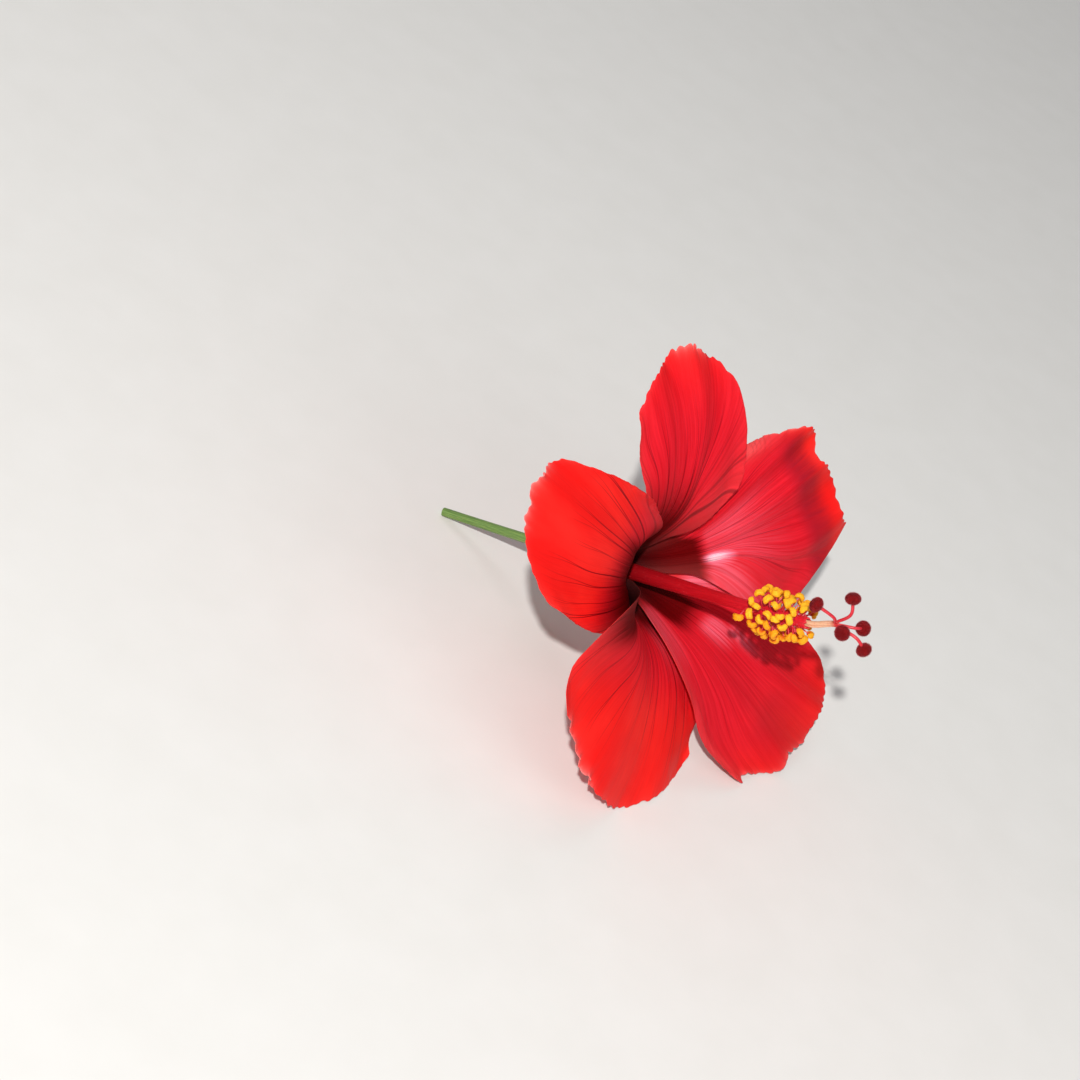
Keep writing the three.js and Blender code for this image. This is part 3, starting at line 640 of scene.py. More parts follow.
def petal_material():
    net = Net("petal_red")
    w, u, seed = net.kept("fan")
    edge, back, scale = net.kept("rim")
    inward, frill, v = net.kept("zones")
    painted_sheen, scarlet, veined = net.kept("paint")
    painted_flap_shade, painted_shade_band, _ = net.kept("painted_shades")

    def lines(count, jitter, fork, twig, thin, thick):
        """Forking veins: 1 on a vein, 0 between them."""
        x = net.add(net.mul(w, count), seed)
        cell = net.math("FLOOR", x)
        r = net.math("FRACT", net.add(net.mul(cell, GOLDEN), 40 * GOLDEN))
        start = net.add(net.mul(r, FORK_SPREAD), FORK_FROM)
        aside = net.sub(net.sub(x, cell), 0.5)
        aside = net.math("ABSOLUTE", net.add(aside, net.mul(net.sub(r, 0.5), jitter)))
        first = net.rise(u, start, net.add(start, 0.5), 0.0, fork)
        second = net.rise(u, net.add(start, 0.25), net.add(start, 0.75), 0.0, twig)
        away = net.sub(net.math("ABSOLUTE", net.sub(aside, first)), second)
        away = net.mul(net.math("ABSOLUTE", away), scale, 1 / count)
        wide = net.rise(u, 0.2, 1.0, thick, thin)
        strong = net.rise(net.math("FRACT", net.mul(r, 7.3)), 0.0, 1.0, 0.45, 1.0)
        return net.mul(net.rise(away, net.mul(wide, 0.25), wide, 1.0, 0.0), strong)

    main = lines(VEINS, VEIN_JITTER, VEIN_FORK, VEIN_TWIG, 0.11, 0.24)
    fine = lines(FINE_VEINS, 0.30, 0.0, 0.0, 0.10, 0.18)
    streaks = net.join(net.mul(w, 34.0), net.mul(u, 3.0), seed)
    streaks = net.noise(streaks, 1.0, 4.0, 0.6)
    threads = net.join(net.mul(w, 95.0), net.mul(u, 5.0), net.add(seed, 3.1))
    threads = net.noise(threads, 1.0, 2.0, 0.5)
    blotches = net.join(net.mul(v, 2.2), net.mul(u, 3.4), net.add(seed, 7.3))
    blotches = net.noise(blotches, 1.0, 3.0, 0.55)
    skin = net.noise(net.place(), 2600.0, 4.0, 0.62)
    mesh = net.join(net.mul(w, scale, 0.75), net.mul(u, 52.0), seed)
    mesh = net.rise(net.cells(mesh, 1.0, "DISTANCE_TO_EDGE"), 0.0, 0.13, 1.0, 0.0)

    # The blade: scarlet outside, crimson further in, with bands of painted shade.
    blade = net.mix(net.rise(blotches, 0.35, 0.7), colour(240, 26, 24), colour(252, 40, 34))
    crimson = net.mix(net.rise(streaks, 0.25, 0.75), colour(200, 18, 32), colour(226, 32, 48))
    near = net.add(scarlet, net.mul(net.sub(streaks, 0.5), 0.3))
    shade = net.mix(net.rise(near, 0.0, 1.0), crimson, blade)
    shade = net.mix(net.mul(net.rise(threads, 0.35, 0.75), 0.10), shade, colour(156, 4, 16))
    dark = net.mul(painted_shade_band, net.rise(streaks, 0.2, 0.8, 0.45, 0.75))
    shade = net.mix(dark, shade, colour(120, 20, 38))

    # A painted highlight beside the eye, pink and then near white, and the veins over it.
    gleam = net.mul(painted_sheen, net.rise(threads, 0.36, 0.64, 0.65, 1.2))
    shade = net.mix(net.rise(gleam, 0.05, 1.2), shade, colour(255, 136, 162))
    shade = net.mix(net.rise(gleam, 0.85, 1.7, 0.0, 0.9), shade, colour(255, 222, 232))
    strength = net.mul(veined, net.rise(u, 0.62, 0.9, 0.9, 0.0))
    shade = net.mix(net.mul(main, strength), shade, colour(104, 0, 14))
    strength = net.mul(fine, veined, net.rise(u, 0.5, 0.8, 0.13, 0.0))
    shade = net.mix(strength, shade, colour(120, 0, 14))

    # The dark eye bleeds along the veins and is near black at the foot.
    bled = net.add(inward, net.mul(main, 0.35))
    bled = net.add(bled, net.mul(net.sub(streaks, 0.5), 1.3))
    eye = net.rise(bled, -0.8, 0.8)
    maroon = net.mix(streaks, colour(66, 0, 2), colour(118, 0, 3))
    maroon = net.mix(net.rise(u, 0.14, 0.36), colour(20, 0, 2), maroon)
    shade = net.mix(eye, shade, maroon)

    # The back is paler, with raised veins, and the frilled rim is pink. The flap of the lower left
    # petal that stands in the throat is painted near black on its back, as shade.
    pale = net.mix(net.rise(u, 0.15, 0.6), colour(196, 62, 58), colour(236, 34, 34))
    pale = net.mix(net.mul(main, net.rise(u, 0.3, 0.9, 0.45, 0.12)), pale, colour(160, 16, 26))
    pale = net.mix(net.rise(u, 0.20, 0.38, 0.55, 0.0), pale, colour(110, 8, 14))
    pale = net.mix(painted_flap_shade, pale, colour(34, 0, 3))
    shade = net.mix(net.mul(back, net.add(0.85, net.mul(painted_flap_shade, 0.15))), shade, pale)
    pink = net.mul(edge, net.add(net.mul(frill, 0.95), 0.08))
    shade = net.mix(pink, shade, colour(255, 128, 124))

    rough = net.rise(eye, 0.0, 1.0, 0.50, 0.68)
    rough = net.add(rough, net.mul(net.sub(skin, 0.5), 0.16))
    relief = net.sub(net.mul(streaks, 0.2), net.add(net.mul(main, 0.6), net.mul(fine, 0.12)))
    relief = net.sub(relief, net.mul(mesh, 0.10))
    relief = net.mul(relief, net.sub(1.0, net.mul(back, 1.8)))
    normal = net.bump(skin, 0.2, 0.00008, net.bump(relief, 0.22, 0.0002))
    return net.finish(
        shade, rough, normal, soft=(0.15, (1.0, 0.10, 0.08), 0.001),
        Specular_IOR_Level=0.08, Specular_Tint=(1.0, 0.45, 0.45, 1.0),
    )


petal_red = petal_material()
for number, petal in enumerate(PETALS):
    dress(petal_mesh(number, {**PETAL_HAS_NONE, **petal}, petal_red), "petal", petal["name"])


# ---- Staminal column ----
COLUMN_BOTTOM, COLUMN_TOP, COLUMN_SIDES = -0.5, 84.0, 72
COLUMN_WALL = [(3.15, 0.5), (2.5, 12), (2.25, 28), (1.7, 58), (1.6, 83.5)]
COLUMN_SAG = 0.35
TEETH_FROM, TEETH_HEIGHT = 83, 0.55
SOCKET_RADIUS, SOCKET_BOTTOM = 1.15, 79.0
AXIS = 0.02  # the radius of the rings that close an end
TIP_RADIUS = 1.6
STAMENS, LONE_STAMEN, STAMENS_FROM, STAMENS_TO = 70, 64.0, 66.8, 81.6
GOLDEN_ANGLE = 137.508
ANTHER_STEPS, ANTHER_SIDES = 22, 16
ANTHER_BEND, ANTHER_REACH, ANTHER_RADIUS = 1.9, 0.58, 0.47
ANTHER_SIZE, ANTHER_VARIES = 1.42, 0.40
GRAINS, GRAIN_RADIUS = 56, 0.055
GRAIN_CORNERS = np.array(
    [[0, 0, 1], [0, 0, -1], [1, 0, 0], [-1, 0, 0], [0, 1, 0], [0, -1, 0]], float
)
GRAIN_FACES = [
    (0, 2, 4), (0, 4, 3), (0, 3, 5), (0, 5, 2), (1, 4, 2), (1, 3, 4), (1, 5, 3), (1, 2, 5),
]


def column_mesh(material):
    """A fluted tube, which ends in five small teeth round the style."""
    wall = spline(COLUMN_WALL, 200)
    angle = all_round(COLUMN_SIDES)
    foot = [(AXIS, COLUMN_BOTTOM), (1.6, COLUMN_BOTTOM), (2.75, COLUMN_BOTTOM + 0.12)]
    lip = [(1.5, COLUMN_TOP - 0.1), (1.3, COLUMN_TOP), (SOCKET_RADIUS, COLUMN_TOP - 0.2)]
    socket = [(SOCKET_RADIUS, SOCKET_BOTTOM), (AXIS, SOCKET_BOTTOM)]
    outline = [*foot, *wall.tolist(), *lip, *socket]
    points, values = [], []
    for i, (radius, height) in enumerate(outline):
        flutes, teeth = 1, 0
        if len(foot) <= i < len(foot) + len(wall):
            flutes = 1 + 0.018 * np.cos(5 * angle) + 0.010 * np.cos(15 * angle + 0.05 * height)
        if i >= len(wall) and radius > 1 and height > TEETH_FROM:
            teeth = TEETH_HEIGHT * np.maximum(0, np.cos(5 * angle))
        ring = polar(radius * flutes, np.degrees(angle), height + teeth)
        ring[:, 1] -= COLUMN_SAG * math.sin(math.pi * np.clip(height / COLUMN_TOP, 0, 1))
        points.append(ring)
        part = np.full(COLUMN_SIDES, height / COLUMN_TOP)
        values.append(np.stack([part, angle, 0 * angle], -1))
    faces = turned_faces(len(outline), COLUMN_SIDES)
    grain = {"grain": np.concatenate(values)}
    return make("column_tube", np.concatenate(points), faces, material, grain)


def stamens():
    """Each stamen's root, direction, length and spin, as the CAD source draws them."""
    draw = draws(SEED)
    for i in range(STAMENS):
        part = i / (STAMENS - 1)
        height = LONE_STAMEN if i == 0 else lerp(STAMENS_FROM, STAMENS_TO, part)
        azimuth = 248 + i * GOLDEN_ANGLE + 12 * (next(draw) - 0.5)
        slope = math.radians(lerp(8, 36, part**2) + 26 * (next(draw) - 0.5))
        length = lerp(3.9, 5.4, next(draw)) * (1 - 0.2 * part**4)
        direction = polar(math.cos(slope), azimuth, math.sin(slope))
        root = polar(TIP_RADIUS - 0.25, azimuth, height)
        yield root, direction, length, 2 * math.pi * next(draw)


def anther_shape():
    """A kidney: a short fat tube bent into a horseshoe, split along its outer side."""
    t = np.linspace(-1, 1, ANTHER_STEPS)
    bend = ANTHER_BEND * t
    path = np.stack([ANTHER_REACH * np.sin(bend), 0 * t, ANTHER_REACH * np.cos(bend) - 0.25], -1)
    radii = ANTHER_RADIUS * np.sqrt(np.maximum(0.02, 1 - np.abs(t) ** 3.2))
    outward = np.stack([np.sin(bend), 0 * t, np.cos(bend)], -1)
    angle = all_round(ANTHER_SIDES)
    furrow = 1 - 0.30 * bell(np.minimum(angle, 2 * np.pi - angle), 0, 0.35)
    rings, values = [], []
    for i in range(ANTHER_STEPS):
        wide = radii[i] * furrow
        out, aside = (wide * np.cos(angle))[:, None], (1.15 * wide * np.sin(angle))[:, None]
        rings.append(path[i] + out * outward[i] + aside * (0, 1, 0))
        place = np.full(ANTHER_SIDES, (t[i] + 1) / 2)
        values.append(np.stack([place, np.cos(angle), 0 * angle], -1))
    points = np.concatenate([*rings, [path[0], path[-1]]])
    values = np.concatenate([*values, [[0, 0, 0], [1, 0, 0]]])
    return points, capped_faces(ANTHER_STEPS, ANTHER_SIDES), values


def stamen_meshes(thread, anther, pollen):
    rng = np.random.default_rng(SEED)
    threads, anthers, grains = Bundle(), Bundle(), Bundle()
    kidney, kidney_faces, kidney_values = anther_shape()
    # Pollen sits in the split and spills over the outer side.
    skin = len(kidney) - 2
    odds = np.exp(2.4 * kidney_values[:skin, 1])
    odds = odds / odds.sum()
    for number, (root, direction, length, spin) in enumerate(stamens()):
        aside = unit(np.cross(direction, rng.normal(size=3)))
        t = np.linspace(0, 1, 12)
        sway = 0.35 * np.sin(np.pi * t) * rng.normal()
        path = root + direction * (t * length)[:, None] + aside * sway[:, None]
        threads.add(*tube(path, lerp(0.30, 0.14, t) + 0.10 * bell(t, 0, 0.12), 8))

        spun = np.array(Matrix.Rotation(spin, 3, "Z"))
        spun = spun @ np.array(Matrix.Rotation(0.5 * rng.normal(), 3, "X"))
        spun = turned_to(direction) @ spun
        size = ANTHER_SIZE + ANTHER_VARIES * rng.random()
        lumps = np.sin(9 * kidney[:, :1] + number) * np.cos(7 * kidney[:, 1:2] + 2 * number)
        place = root + direction * (length + 0.3)
        tags = kidney_values.copy()
        tags[:, 2] = number
        anthers.add(place + (kidney * (1 + 0.05 * lumps) * size) @ spun.T, kidney_faces, tags)

        for pick in rng.choice(skin, GRAINS, replace=False, p=odds):
            out = unit(kidney[pick] - np.array([0, 0, -0.1]))
            radius = GRAIN_RADIUS * (0.8 + 0.5 * rng.random())
            spot = place + (kidney[pick] * size + out * 0.03) @ spun.T
            grains.add(spot + radius * GRAIN_CORNERS, GRAIN_FACES, np.full((6, 3), rng.random()))
    return (
        threads.make("filaments", thread),
        anthers.make("anthers", anther),
        grains.make("pollen", pollen),
    )


def column_material():
    net = Net("column_red")
    height, angle, _ = net.kept("grain")
    streak = net.noise(net.join(net.mul(angle, 5.0), net.mul(height, 9.0), 0.0), 1.0, 4.0, 0.6)
    fleck = net.noise(net.place(), 1500.0)
    red = net.mix(net.rise(height, 0.05, 0.55), colour(100, 0, 2), colour(198, 14, 28))
    red = net.mix(net.rise(height, 0.62, 0.95), red, colour(224, 30, 50))
    red = net.mix(net.mul(net.rise(streak, 0.35, 0.75), 0.45), red, colour(140, 0, 12))
    red = net.mix(net.mul(net.rise(fleck, 0.62, 0.8), 0.3), red, colour(240, 110, 120))
    normal = net.bump(fleck, 0.2, 0.0001, net.bump(streak, 0.35, 0.00025))
    rough, soft = net.add(net.mul(fleck, 0.2), 0.30), (0.15, (1.0, 0.15, 0.12), 0.0015)
    return net.finish(red, rough, normal, soft, Specular_IOR_Level=0.5)


def filament_material():
    net = Net("filament_red")
    along = net.kept("grain")[0]
    fleck = net.noise(net.place(), 2200.0)
    red = net.mix(net.rise(along, 0.1, 1.0), colour(196, 10, 30), colour(232, 62, 78))
    red = net.mix(net.mul(net.rise(fleck, 0.4, 0.75), 0.4), red, colour(248, 140, 150))
    rough, soft = net.add(net.mul(fleck, 0.2), 0.28), (0.2, (1.0, 0.3, 0.25), 0.0006)
    return net.finish(red, rough, net.bump(fleck, 0.2, 0.00006), soft, Specular_IOR_Level=0.5)


def anther_material():
    net = Net("anther_gold")
    _, outer, number = net.kept("grain")
    own = net.math("FRACT", net.mul(number, GOLDEN))
    lumps = net.cells(net.place(), 5200.0)
    tone = net.mix(own, colour(252, 168, 12), colour(255, 196, 34))
    tone = net.mix(net.rise(outer, -0.9, 0.2), colour(224, 110, 8), tone)
    tone = net.mix(net.mul(net.rise(lumps, 0.3, 0.8), 0.3), tone, colour(214, 112, 4))
    rough, soft = net.rise(lumps, 0.0, 0.8, 0.75, 0.55), (0.1, (1.0, 0.6, 0.1), 0.0004)
    return net.finish(tone, rough, net.bump(lumps, 0.7, 0.00012), soft, Specular_IOR_Level=0.3)


def pollen_material():
    net = Net("pollen_gold")
    own = net.kept("grain")[0]
    spikes = net.cells(net.place(), 22000.0)
    tone = net.mix(own, colour(252, 170, 14), colour(255, 200, 48))
    tone = net.mix(net.mul(net.rise(spikes, 0.2, 0.6), 0.3), tone, colour(226, 132, 8))
    return net.finish(tone, 0.6, net.bump(spikes, 0.5, 0.00003))


dress(column_mesh(column_material()), "column", "staminal_column")
for made in stamen_meshes(filament_material(), anther_material(), pollen_material()):
    dress(made, "column")


# ---- Pistil ----
STYLE_FROM, STYLE_TO, STYLE_BEND = 79.5, 94.0, 2.0
STRAND_STEPS, BRANCH_STEPS, STYLE_SIDES = 14, 16, 12
BRANCHES = [  # azimuth, distance out and height above the parting
    (303, 9.0, -3.0), (353, 8.0, 3.5), (93, 6.8, 3.0), (138, 7.3, 5.7), (264, 6.0, 5.5),
]
STIGMA_RADIUS, STIGMA_FLATNESS = 2.1, 0.78
STIGMA_ROWS, STIGMA_SIDES = 26, 40
HAIRS, HAIR_LENGTH, HAIR_FOOT = 1500, 0.38, 0.04
HAIR_CORNERS = (0, 2.094, 4.189)
HAIR_FACES = [(0, 1, 3), (1, 2, 3), (2, 0, 3), (0, 2, 1)]
HAIR_TAGS = np.array([[0, 0, 0]] * 3 + [[1, 0, 0]], float)


def stigma_pad(number):
    """A flattened ball, a little lobed, round the origin, and its faces."""
    t = np.linspace(0.02, np.pi - 0.02, STIGMA_ROWS + 1)[:, None]
    a = all_round(STIGMA_SIDES)[None, :]
    cushion = 1 + 0.045 * np.sin(5 * a + number) * np.sin(t)
    cushion = cushion + 0.03 * np.sin(11 * a) * np.sin(2 * t)
    flat = STIGMA_FLATNESS * (1 - 0.16 * bell(t, 0, 0.7))
    ball = [np.sin(t) * np.cos(a) * cushion, np.sin(t) * np.sin(a) * cushion, np.cos(t) * flat]
    ball = 0.97 * STIGMA_RADIUS * np.stack(np.broadcast_arrays(*ball), -1).reshape(-1, 3)
    *faces, first, last = turned_faces(STIGMA_ROWS + 1, STIGMA_SIDES)
    return ball, [*faces, first[::-1], last[::-1]]


def stigma_hairs(rng):
    """Fine hairs all over a pad round the origin, each a slim spike."""
    k = np.arange(HAIRS) + 0.5
    down = np.arccos(1 - 2 * k / HAIRS)
    spin = np.pi * (1 + 5**0.5) * k
    out = np.stack([np.sin(down) * np.cos(spin), np.sin(down) * np.sin(spin), np.cos(down)], -1)
    base = STIGMA_RADIUS * 0.92 * out * (1, 1, STIGMA_FLATNESS)
    lean = unit(out + 0.28 * rng.normal(size=(HAIRS, 3)))
    tall = HAIR_LENGTH * (0.7 + 0.6 * rng.random(HAIRS))
    for at, along, length in zip(base, lean, tall):
        side = unit(np.cross(along, (0.3, 0.5, 0.81)))
        other = np.cross(along, side)
        foot = [HAIR_FOOT * (math.cos(q) * side + math.sin(q) * other) for q in HAIR_CORNERS]
        yield np.array([at + corner for corner in foot] + [at + along * length])


def pistil_meshes(style, stigma, fuzz):
    """Five styles run side by side out of the column, then part, each to its velvety stigma."""
    rng = np.random.default_rng(SEED + 1)
    styles, pads, hairs = Bundle(), Bundle(), Bundle()
    parting = np.array([0, STYLE_BEND, STYLE_TO])
    for number, (azimuth, out, up) in enumerate(BRANCHES):
        heights = np.linspace(STYLE_FROM, STYLE_TO - 1.2, STRAND_STEPS)
        twist = azimuth + 40 * (1 - rise(heights, STYLE_FROM, STYLE_TO))
        strand = polar(0.50, twist, heights)
        strand[:, 1] += STYLE_BEND * rise(heights, COLUMN_TOP, STYLE_TO)
        elbow = parting + polar(0.45 * out, azimuth, 0.5 * up + 1.6)
        end = parting + polar(out, azimuth, up)
        branch = spline([strand[-1], elbow, end], BRANCH_STEPS)[1:]
        path = np.concatenate([strand, branch])
        s = np.linspace(0, 1, len(path))
        radii = lerp(0.42, 0.46, s) + 0.12 * rise(s, 0.9, 1.0)
        points, faces, values = tube(path, radii, STYLE_SIDES)
        parted = (STRAND_STEPS - 1) / (len(path) - 1)
        values[:, 2] = rise(values[:, 0], parted - 0.08, parted + 0.06)
        styles.add(points, faces, values)

        turn = turned_to(unit(branch[-1] - branch[-3])).T
        ball, ball_faces = stigma_pad(number)
        pads.add(end + ball @ turn, ball_faces)
        for spike in stigma_hairs(rng):
            hairs.add(end + spike @ turn, HAIR_FACES, HAIR_TAGS)
    return (
        styles.make("styles", style),
        pads.make("stigmas", stigma),
        hairs.make("stigma_hairs", fuzz),
    )


def style_material():
    net = Net("style_cream")
    ripe = net.kept("grain")[2]
    fleck = net.noise(net.place(), 1800.0)
    cream = net.mix(fleck, colour(226, 148, 112), colour(248, 206, 168))
    red = net.mix(fleck, colour(188, 14, 30), colour(226, 60, 74))
    rough, soft = net.add(net.mul(fleck, 0.2), 0.30), (0.25, (1.0, 0.4, 0.3), 0.0012)
    return net.finish(net.mix(ripe, cream, red), rough, net.bump(fleck, 0.2, 0.0001), soft)


def stigma_material():
    net = Net("stigma_velvet")
    pile = net.cells(net.place(), 7000.0)
    tone = net.mix(net.rise(pile, 0.1, 0.6), colour(150, 2, 5), colour(96, 0, 2))
    return net.finish(
        tone, 0.9, net.bump(pile, 0.6, 0.0001), Specular_IOR_Level=0.15,
        Sheen_Weight=0.12, Sheen_Roughness=0.3, Sheen_Tint=(1.0, 0.3, 0.32, 1.0),
    )


def fuzz_material():
    net = Net("stigma_fuzz")
    tip = net.kept("grain")[0]
    tuft = net.noise(net.place(), 3000.0, 2.0)
    # Dark red at the foot and pink at the tip: the pink tips are painted light, as if lit through
    # from behind.
    tone = net.mix(net.rise(tip, 0.3, 0.8), colour(104, 0, 3), colour(240, 96, 108))
    tone = net.mix(net.mul(tuft, 0.3), tone, colour(140, 6, 8))
    return net.finish(tone, 0.75, Specular_IOR_Level=0.15)


styles, pads, hairs = pistil_meshes(style_material(), stigma_material(), fuzz_material())
dress(styles, "stigma", "pistil")
dress(pads, "stigma")
dress(hairs, "stigma")


# ---- Calyx ----
CALYX_PETAL = dict(blade=76, tip=94, length=90)
CALYX_LOBES, CALYX_BAY, CALYX_LOBE, CALYX_AZIMUTH = 5, 13, 10, 28
CALYX_FLOOR = -0.85
CALYX_ROWS, CALYX_COLUMNS = 60, 240
CALYX_RIBS = [(1, 0.13, 0.07), (0, 0.09, 0.05), (0.62, 0.06, 0.06), (0.35, 0.05, 0.05)]


def calyx_mesh(material):
    """A cup round the petals' feet, with ribs and pointed lobes."""
    line = meridian(CALYX_PETAL)

    def inside(height):
        s = np.array(height, float)
        for _ in range(8):
            s = s + height - line(np.maximum(s, 0))[2]
        return line(np.maximum(0, s))[1] + 1.5 + 0.035 * height

    azimuth = 360 * np.arange(CALYX_COLUMNS) / CALYX_COLUMNS
    sector = 360 / CALYX_LOBES
    from_bay = np.abs((azimuth - CALYX_AZIMUTH) % sector / (sector / 2) - 1)
    part = (np.arange(CALYX_ROWS + 1) / CALYX_ROWS)[:, None]
    height = (CALYX_BAY + CALYX_LOBE * from_bay**1.35) * part
    ribs = sum(size * bell(from_bay, at, wide) for at, size, wide in CALYX_RIBS)
    wall = lerp(0.78, 0.34, part) + ribs * lerp(1.0, 0.35, part)
    outer = inside(height) + wall + 0.04 * np.sin(0.9 * height + azimuth / 9)
    inner = inside(height) + 0.02
    floor_radius = float(inside(np.zeros(1))[0]) - 0.6
    rings, values = [], []

    def ring(radius, up, tag):
        rings.append(polar(radius * np.ones(CALYX_COLUMNS), azimuth, up))
        values.append(np.stack(np.broadcast_arrays(tag, from_bay, 0.0), -1))

    ring(0.05, CALYX_FLOOR - 0.9, -1.0)
    ring(floor_radius * 0.6, CALYX_FLOOR - 0.9, -0.6)
    ring(floor_radius, CALYX_FLOOR - 0.86, -0.2)
    ring(floor_radius + 0.95, CALYX_FLOOR - 0.45, -0.1)
    for i in range(CALYX_ROWS + 1):
        ring(outer[i], height[i], i / CALYX_ROWS)
    ring(0.5 * (outer[-1] + inner[-1]), height[-1] + 0.12, 1.0)
    for i in range(CALYX_ROWS, -1, -1):
        ring(inner[i], height[i], 2 - i / CALYX_ROWS)
    ring(floor_radius, CALYX_FLOOR, 2.2)
    ring(0.05, CALYX_FLOOR, 3.0)
    faces = turned_faces(len(rings), CALYX_COLUMNS)
    grain = {"grain": np.concatenate(values)}
    return make("calyx_cup", np.concatenate(rings), faces, material, grain)


def leaf_material(name, dark, light, rib, seed):
    net = Net(name)
    along, across, _ = net.kept("grain")
    place = net.place()
    mottle = net.noise(place, 420.0 + seed, 4.0, 0.6)
    fine = net.noise(place, 2400.0)
    veins = net.join(net.mul(across, 9.0), net.mul(along, 6.0), float(seed))
    veins = net.rise(net.cells(veins, 1.0, "DISTANCE_TO_EDGE"), 0.0, 0.09, 1.0, 0.0)
    tone = net.mix(net.rise(mottle, 0.3, 0.7), dark, light)
    tone = net.mix(net.mul(veins, 0.35), tone, rib)
    tone = net.mix(net.mul(net.rise(across, 0.9, 1.0), 0.5), tone, rib)
    tone = net.mix(net.mul(net.rise(fine, 0.6, 0.8), 0.25), tone, rib)
    normal = net.bump(fine, 0.3, 0.0001, net.bump(veins, 0.3, 0.0002))
    rough, soft = net.add(net.mul(fine, 0.2), 0.45), (0.12, (0.6, 1.0, 0.2), 0.001)
    return net.finish(tone, rough, normal, soft, Sheen_Weight=0.15)


calyx_green = leaf_material(
    "calyx_green", colour(92, 128, 52), colour(126, 160, 74), colour(168, 190, 110), 3
)
dress(calyx_mesh(calyx_green), "calyx", "calyx")


# ---- Bracts and receptacle ----
BRACTS, BRACT_ROWS, BRACT_COLUMNS = 7, 44, 12
BRACT_LINE = [(4.0, -3.65), (7.4, -3.25), (9.8, 1.05), (11.4, 7.35), (13.8, 12.35)]
RECEPTACLE = [(0.05, -6.2), (1.9, -6.2), (3.2, -5.0), (5.2, -3.35), (4.9, -2.15), (0.05, -2.15)]
RECEPTACLE_SIDES = 84


def receptacle():
    outline = [RECEPTACLE[0], *spline(RECEPTACLE[1:5], 26), RECEPTACLE[5]]
    angle = all_round(RECEPTACLE_SIDES)
    grooves = 1 + 0.03 * np.cos(BRACTS * angle - 1.46)
    rings = [polar(radius * grooves, np.degrees(angle), height) for radius, height in outline]
    tags = np.stack(np.broadcast_arrays(0.2, np.abs(np.sin(BRACTS / 2 * angle)), 0.0), -1)
    faces = turned_faces(len(rings), RECEPTACLE_SIDES)
    return np.concatenate(rings), faces, np.tile(tags, (len(rings), 1))


def bract(index):
    azimuth = 12 + 360 * index / BRACTS
    stretch = 1 + 0.12 * math.sin(2.3 * index)
    knots = [polar(out, azimuth, up * stretch if up > 0 else up) for out, up in BRACT_LINE]
    path = spline(knots, BRACT_ROWS + 1)
    a = np.linspace(0, 1, BRACT_ROWS + 1)[:, None]
    b = np.linspace(-1, 1, BRACT_COLUMNS + 1)[None, :]
    wide = (1 - 0.93 * np.maximum(0, (a - 0.45) / 0.55) ** 1.5) * lerp(0.85, 1, rise(a, 0, 0.2))
    wide = wide * (1 + 0.04 * np.sin(24 * a + index))
    beside = polar(1, azimuth + 90, 0)
    along = unit(np.gradient(path, axis=0))
    normal = unit(np.cross(along, beside))[:, None, :]
    middle = path[:, None, :] + (b * wide)[..., None] * beside
    cup = 0.16 * b**2 * wide
    half = 0.26 * (1 - 0.55 * b**2) * lerp(1, 0.5, a) + 0.10 * bell(b, 0, 0.2)
    front = middle + normal * (half - cup)[..., None]
    rear = middle - normal * (half + cup)[..., None]
    tags = np.stack(np.broadcast_arrays(a, 1 - np.abs(b), 0.0), -1).reshape(-1, 3)
    points = np.concatenate([front.reshape(-1, 3), rear.reshape(-1, 3)])
    faces = np.concatenate(sheet_faces(BRACT_ROWS, BRACT_COLUMNS))
    return points, faces, np.concatenate([tags, tags])


def bract_meshes(material):
    gathered = Bundle()
    gathered.add(*receptacle())
    for index in range(BRACTS):
        gathered.add(*bract(index))
    return gathered.make("bract_ring", material)


bract_green = leaf_material(
    "bract_green", colour(80, 120, 46), colour(116, 154, 66), colour(160, 184, 100), 9
)
dress(bract_meshes(bract_green), "calyx", "bracts")


# ---- Stalk ----
STALK_TOP, STALK_LENGTH, STALK_SAG, STALK_AZIMUTH = -6.6, 40.0, 9.0, 285
STALK_STEPS, STALK_SIDES = 160, 48
# The cut end, from its bevelled rind in to the paler pith: (share of the radius, depth, tag).
STALK_CUT = [(0.93, 0.10, 0.9), (0.62, 0.05, 0.5), (0.34, 0.12, 0.2), (0.02, 0.04, 0.0)]


def stalk_mesh(material):
    t = np.linspace(0, 1, STALK_STEPS)
    path = polar(STALK_SAG * t**2, STALK_AZIMUTH, STALK_TOP - STALK_LENGTH * t)
    joint = bell(t, 0.16, 0.018) - 0.7 * bell(t, 0.19, 0.012)

    def flute(part, angle):
        return 1 + 0.02 * np.cos(5 * angle + 2 * part) + 0.012 * np.cos(13 * angle - 3 * part)

    sides = STALK_SIDES
    radii = lerp(1.55, 1.30, t) * (0.99 + 0.05 * joint)
    points, faces, values = tube(path, radii, sides, round_ends=False, flute=flute)
    # The tube's own end point and its fan give way to the cut end.
    faces = [f for f in faces if len(f) == 4 or (len(points) - 1) not in f]
    points, values = points[:-1], values[:-1]
    low = (len(path) - 1) * sides
    edge = points[low : low + sides]
    middle = edge.mean(0)
    down = unit(path[-1] - path[-2])
    for share, depth, tag in STALK_CUT:
        high = len(points)
        points = np.concatenate([points, middle + share * (edge - middle) + down * depth])
        values = np.concatenate([values, np.full((sides, 3), (1.0, tag, 1.0))])
        for k in range(sides):
            beside = (k + 1) % sides
            faces.append((low + k, low + beside, high + beside, high + k))
        low = high
    faces.append(tuple(range(low, low + sides)))
    return make("stalk_stem", points, faces, material, {"grain": values})


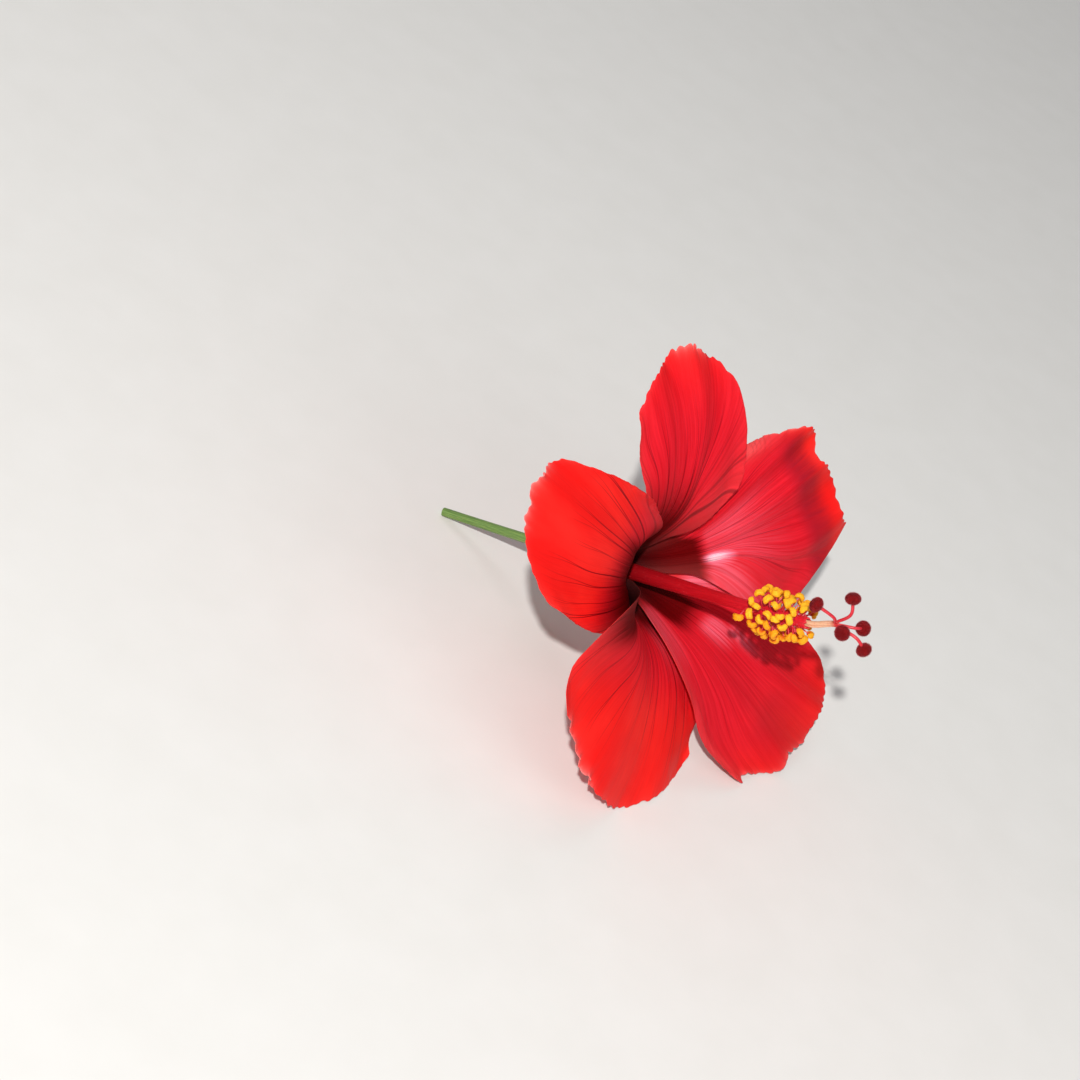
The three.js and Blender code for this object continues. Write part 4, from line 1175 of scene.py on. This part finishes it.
def stalk_material():
    net = Net("stalk_green")
    along, round_it, cut = net.kept("grain")
    streak = net.join(net.mul(round_it, 30.0), net.mul(along, 7.0), 2.0)
    streak = net.noise(streak, 1.0, 4.0, 0.6)
    fleck = net.noise(net.place(), 1700.0)
    skin = net.mix(net.rise(streak, 0.3, 0.7), colour(74, 108, 44), colour(118, 148, 70))
    skin = net.mix(net.mul(net.rise(fleck, 0.62, 0.78), 0.6), skin, colour(150, 128, 84))
    pith = net.mix(net.rise(round_it, 0.25, 0.75), colour(214, 216, 168), colour(128, 158, 84))
    normal = net.bump(fleck, 0.35, 0.0001, net.bump(streak, 0.4, 0.0002))
    rough = net.add(net.mul(fleck, 0.25), 0.42)
    return net.finish(net.mix(cut, skin, pith), rough, normal, Sheen_Weight=0.1)


dress(stalk_mesh(stalk_material()), "stalk", "stalk")


# ---- Floor, light and colour ----
FLOOR_REACH = 4.0
LAMP_AIM = Vector((0.0, 0.0, 0.045))
# Each lamp's direction (right, up and back, as the camera sees it), distance, size, power and tint.
LAMPS = {
    "key": ((-0.025, 0.14, 0.985), 1.5, 0.04, 21.0, (1.0, 0.985, 0.96)),
    "fill": ((-0.75, 0.45, 0.5), 1.4, 0.9, 2.5, (0.98, 0.99, 1.0)),
    "front": ((0.55, -0.1, 0.8), 1.4, 0.9, 3.0, (1.0, 1.0, 1.0)),
    "rim": ((0.3, 0.95, 0.1), 1.4, 0.8, 2.0, (1.0, 1.0, 1.0)),
}
WORLD_TINT, WORLD_STRENGTH = (0.93, 0.96, 1.0, 1.0), 0.24


def floor():
    mesh = bpy.data.meshes.new("floor")
    corners = [(-1, -1), (1, -1), (1, 1), (-1, 1)]
    points = [(FLOOR_REACH * x, FLOOR_REACH * y, 0) for x, y in corners]
    mesh.from_pydata(points, [], [(0, 1, 2, 3)])
    net = Net("floor_pale")
    grain = net.noise(net.place(), 60.0, 4.0)
    tone = net.mix(grain, colour(226, 224, 220), colour(232, 230, 227))
    mesh.materials.append(net.finish(tone, 0.7, Specular_IOR_Level=0.2))
    put("floor", mesh)


def lamp(name, direction, distance, size, power, tint):
    """A round soft light, placed by the camera's own directions round the flower."""
    light = bpy.data.lights.new(name, "AREA")
    light.shape = "DISK"
    light.size = size
    light.energy = power
    light.color = tint
    made = put(name, light)
    right, up, back = direction
    away = (CAMERA_RIGHT * right + CAMERA_UP * up + CAMERA_BACK * back).normalized()
    made.location = LAMP_AIM + away * distance
    made.rotation_euler = away.to_track_quat("Z", "Y").to_euler()


floor()
for name, settings in LAMPS.items():
    lamp(name, *settings)

world = bpy.data.worlds.new("studio")
world.use_nodes = True
background = world.node_tree.nodes["Background"]
background.inputs["Color"].default_value = WORLD_TINT
background.inputs["Strength"].default_value = WORLD_STRENGTH
bpy.context.scene.world = world
bpy.context.scene.view_settings.view_transform = "Standard"
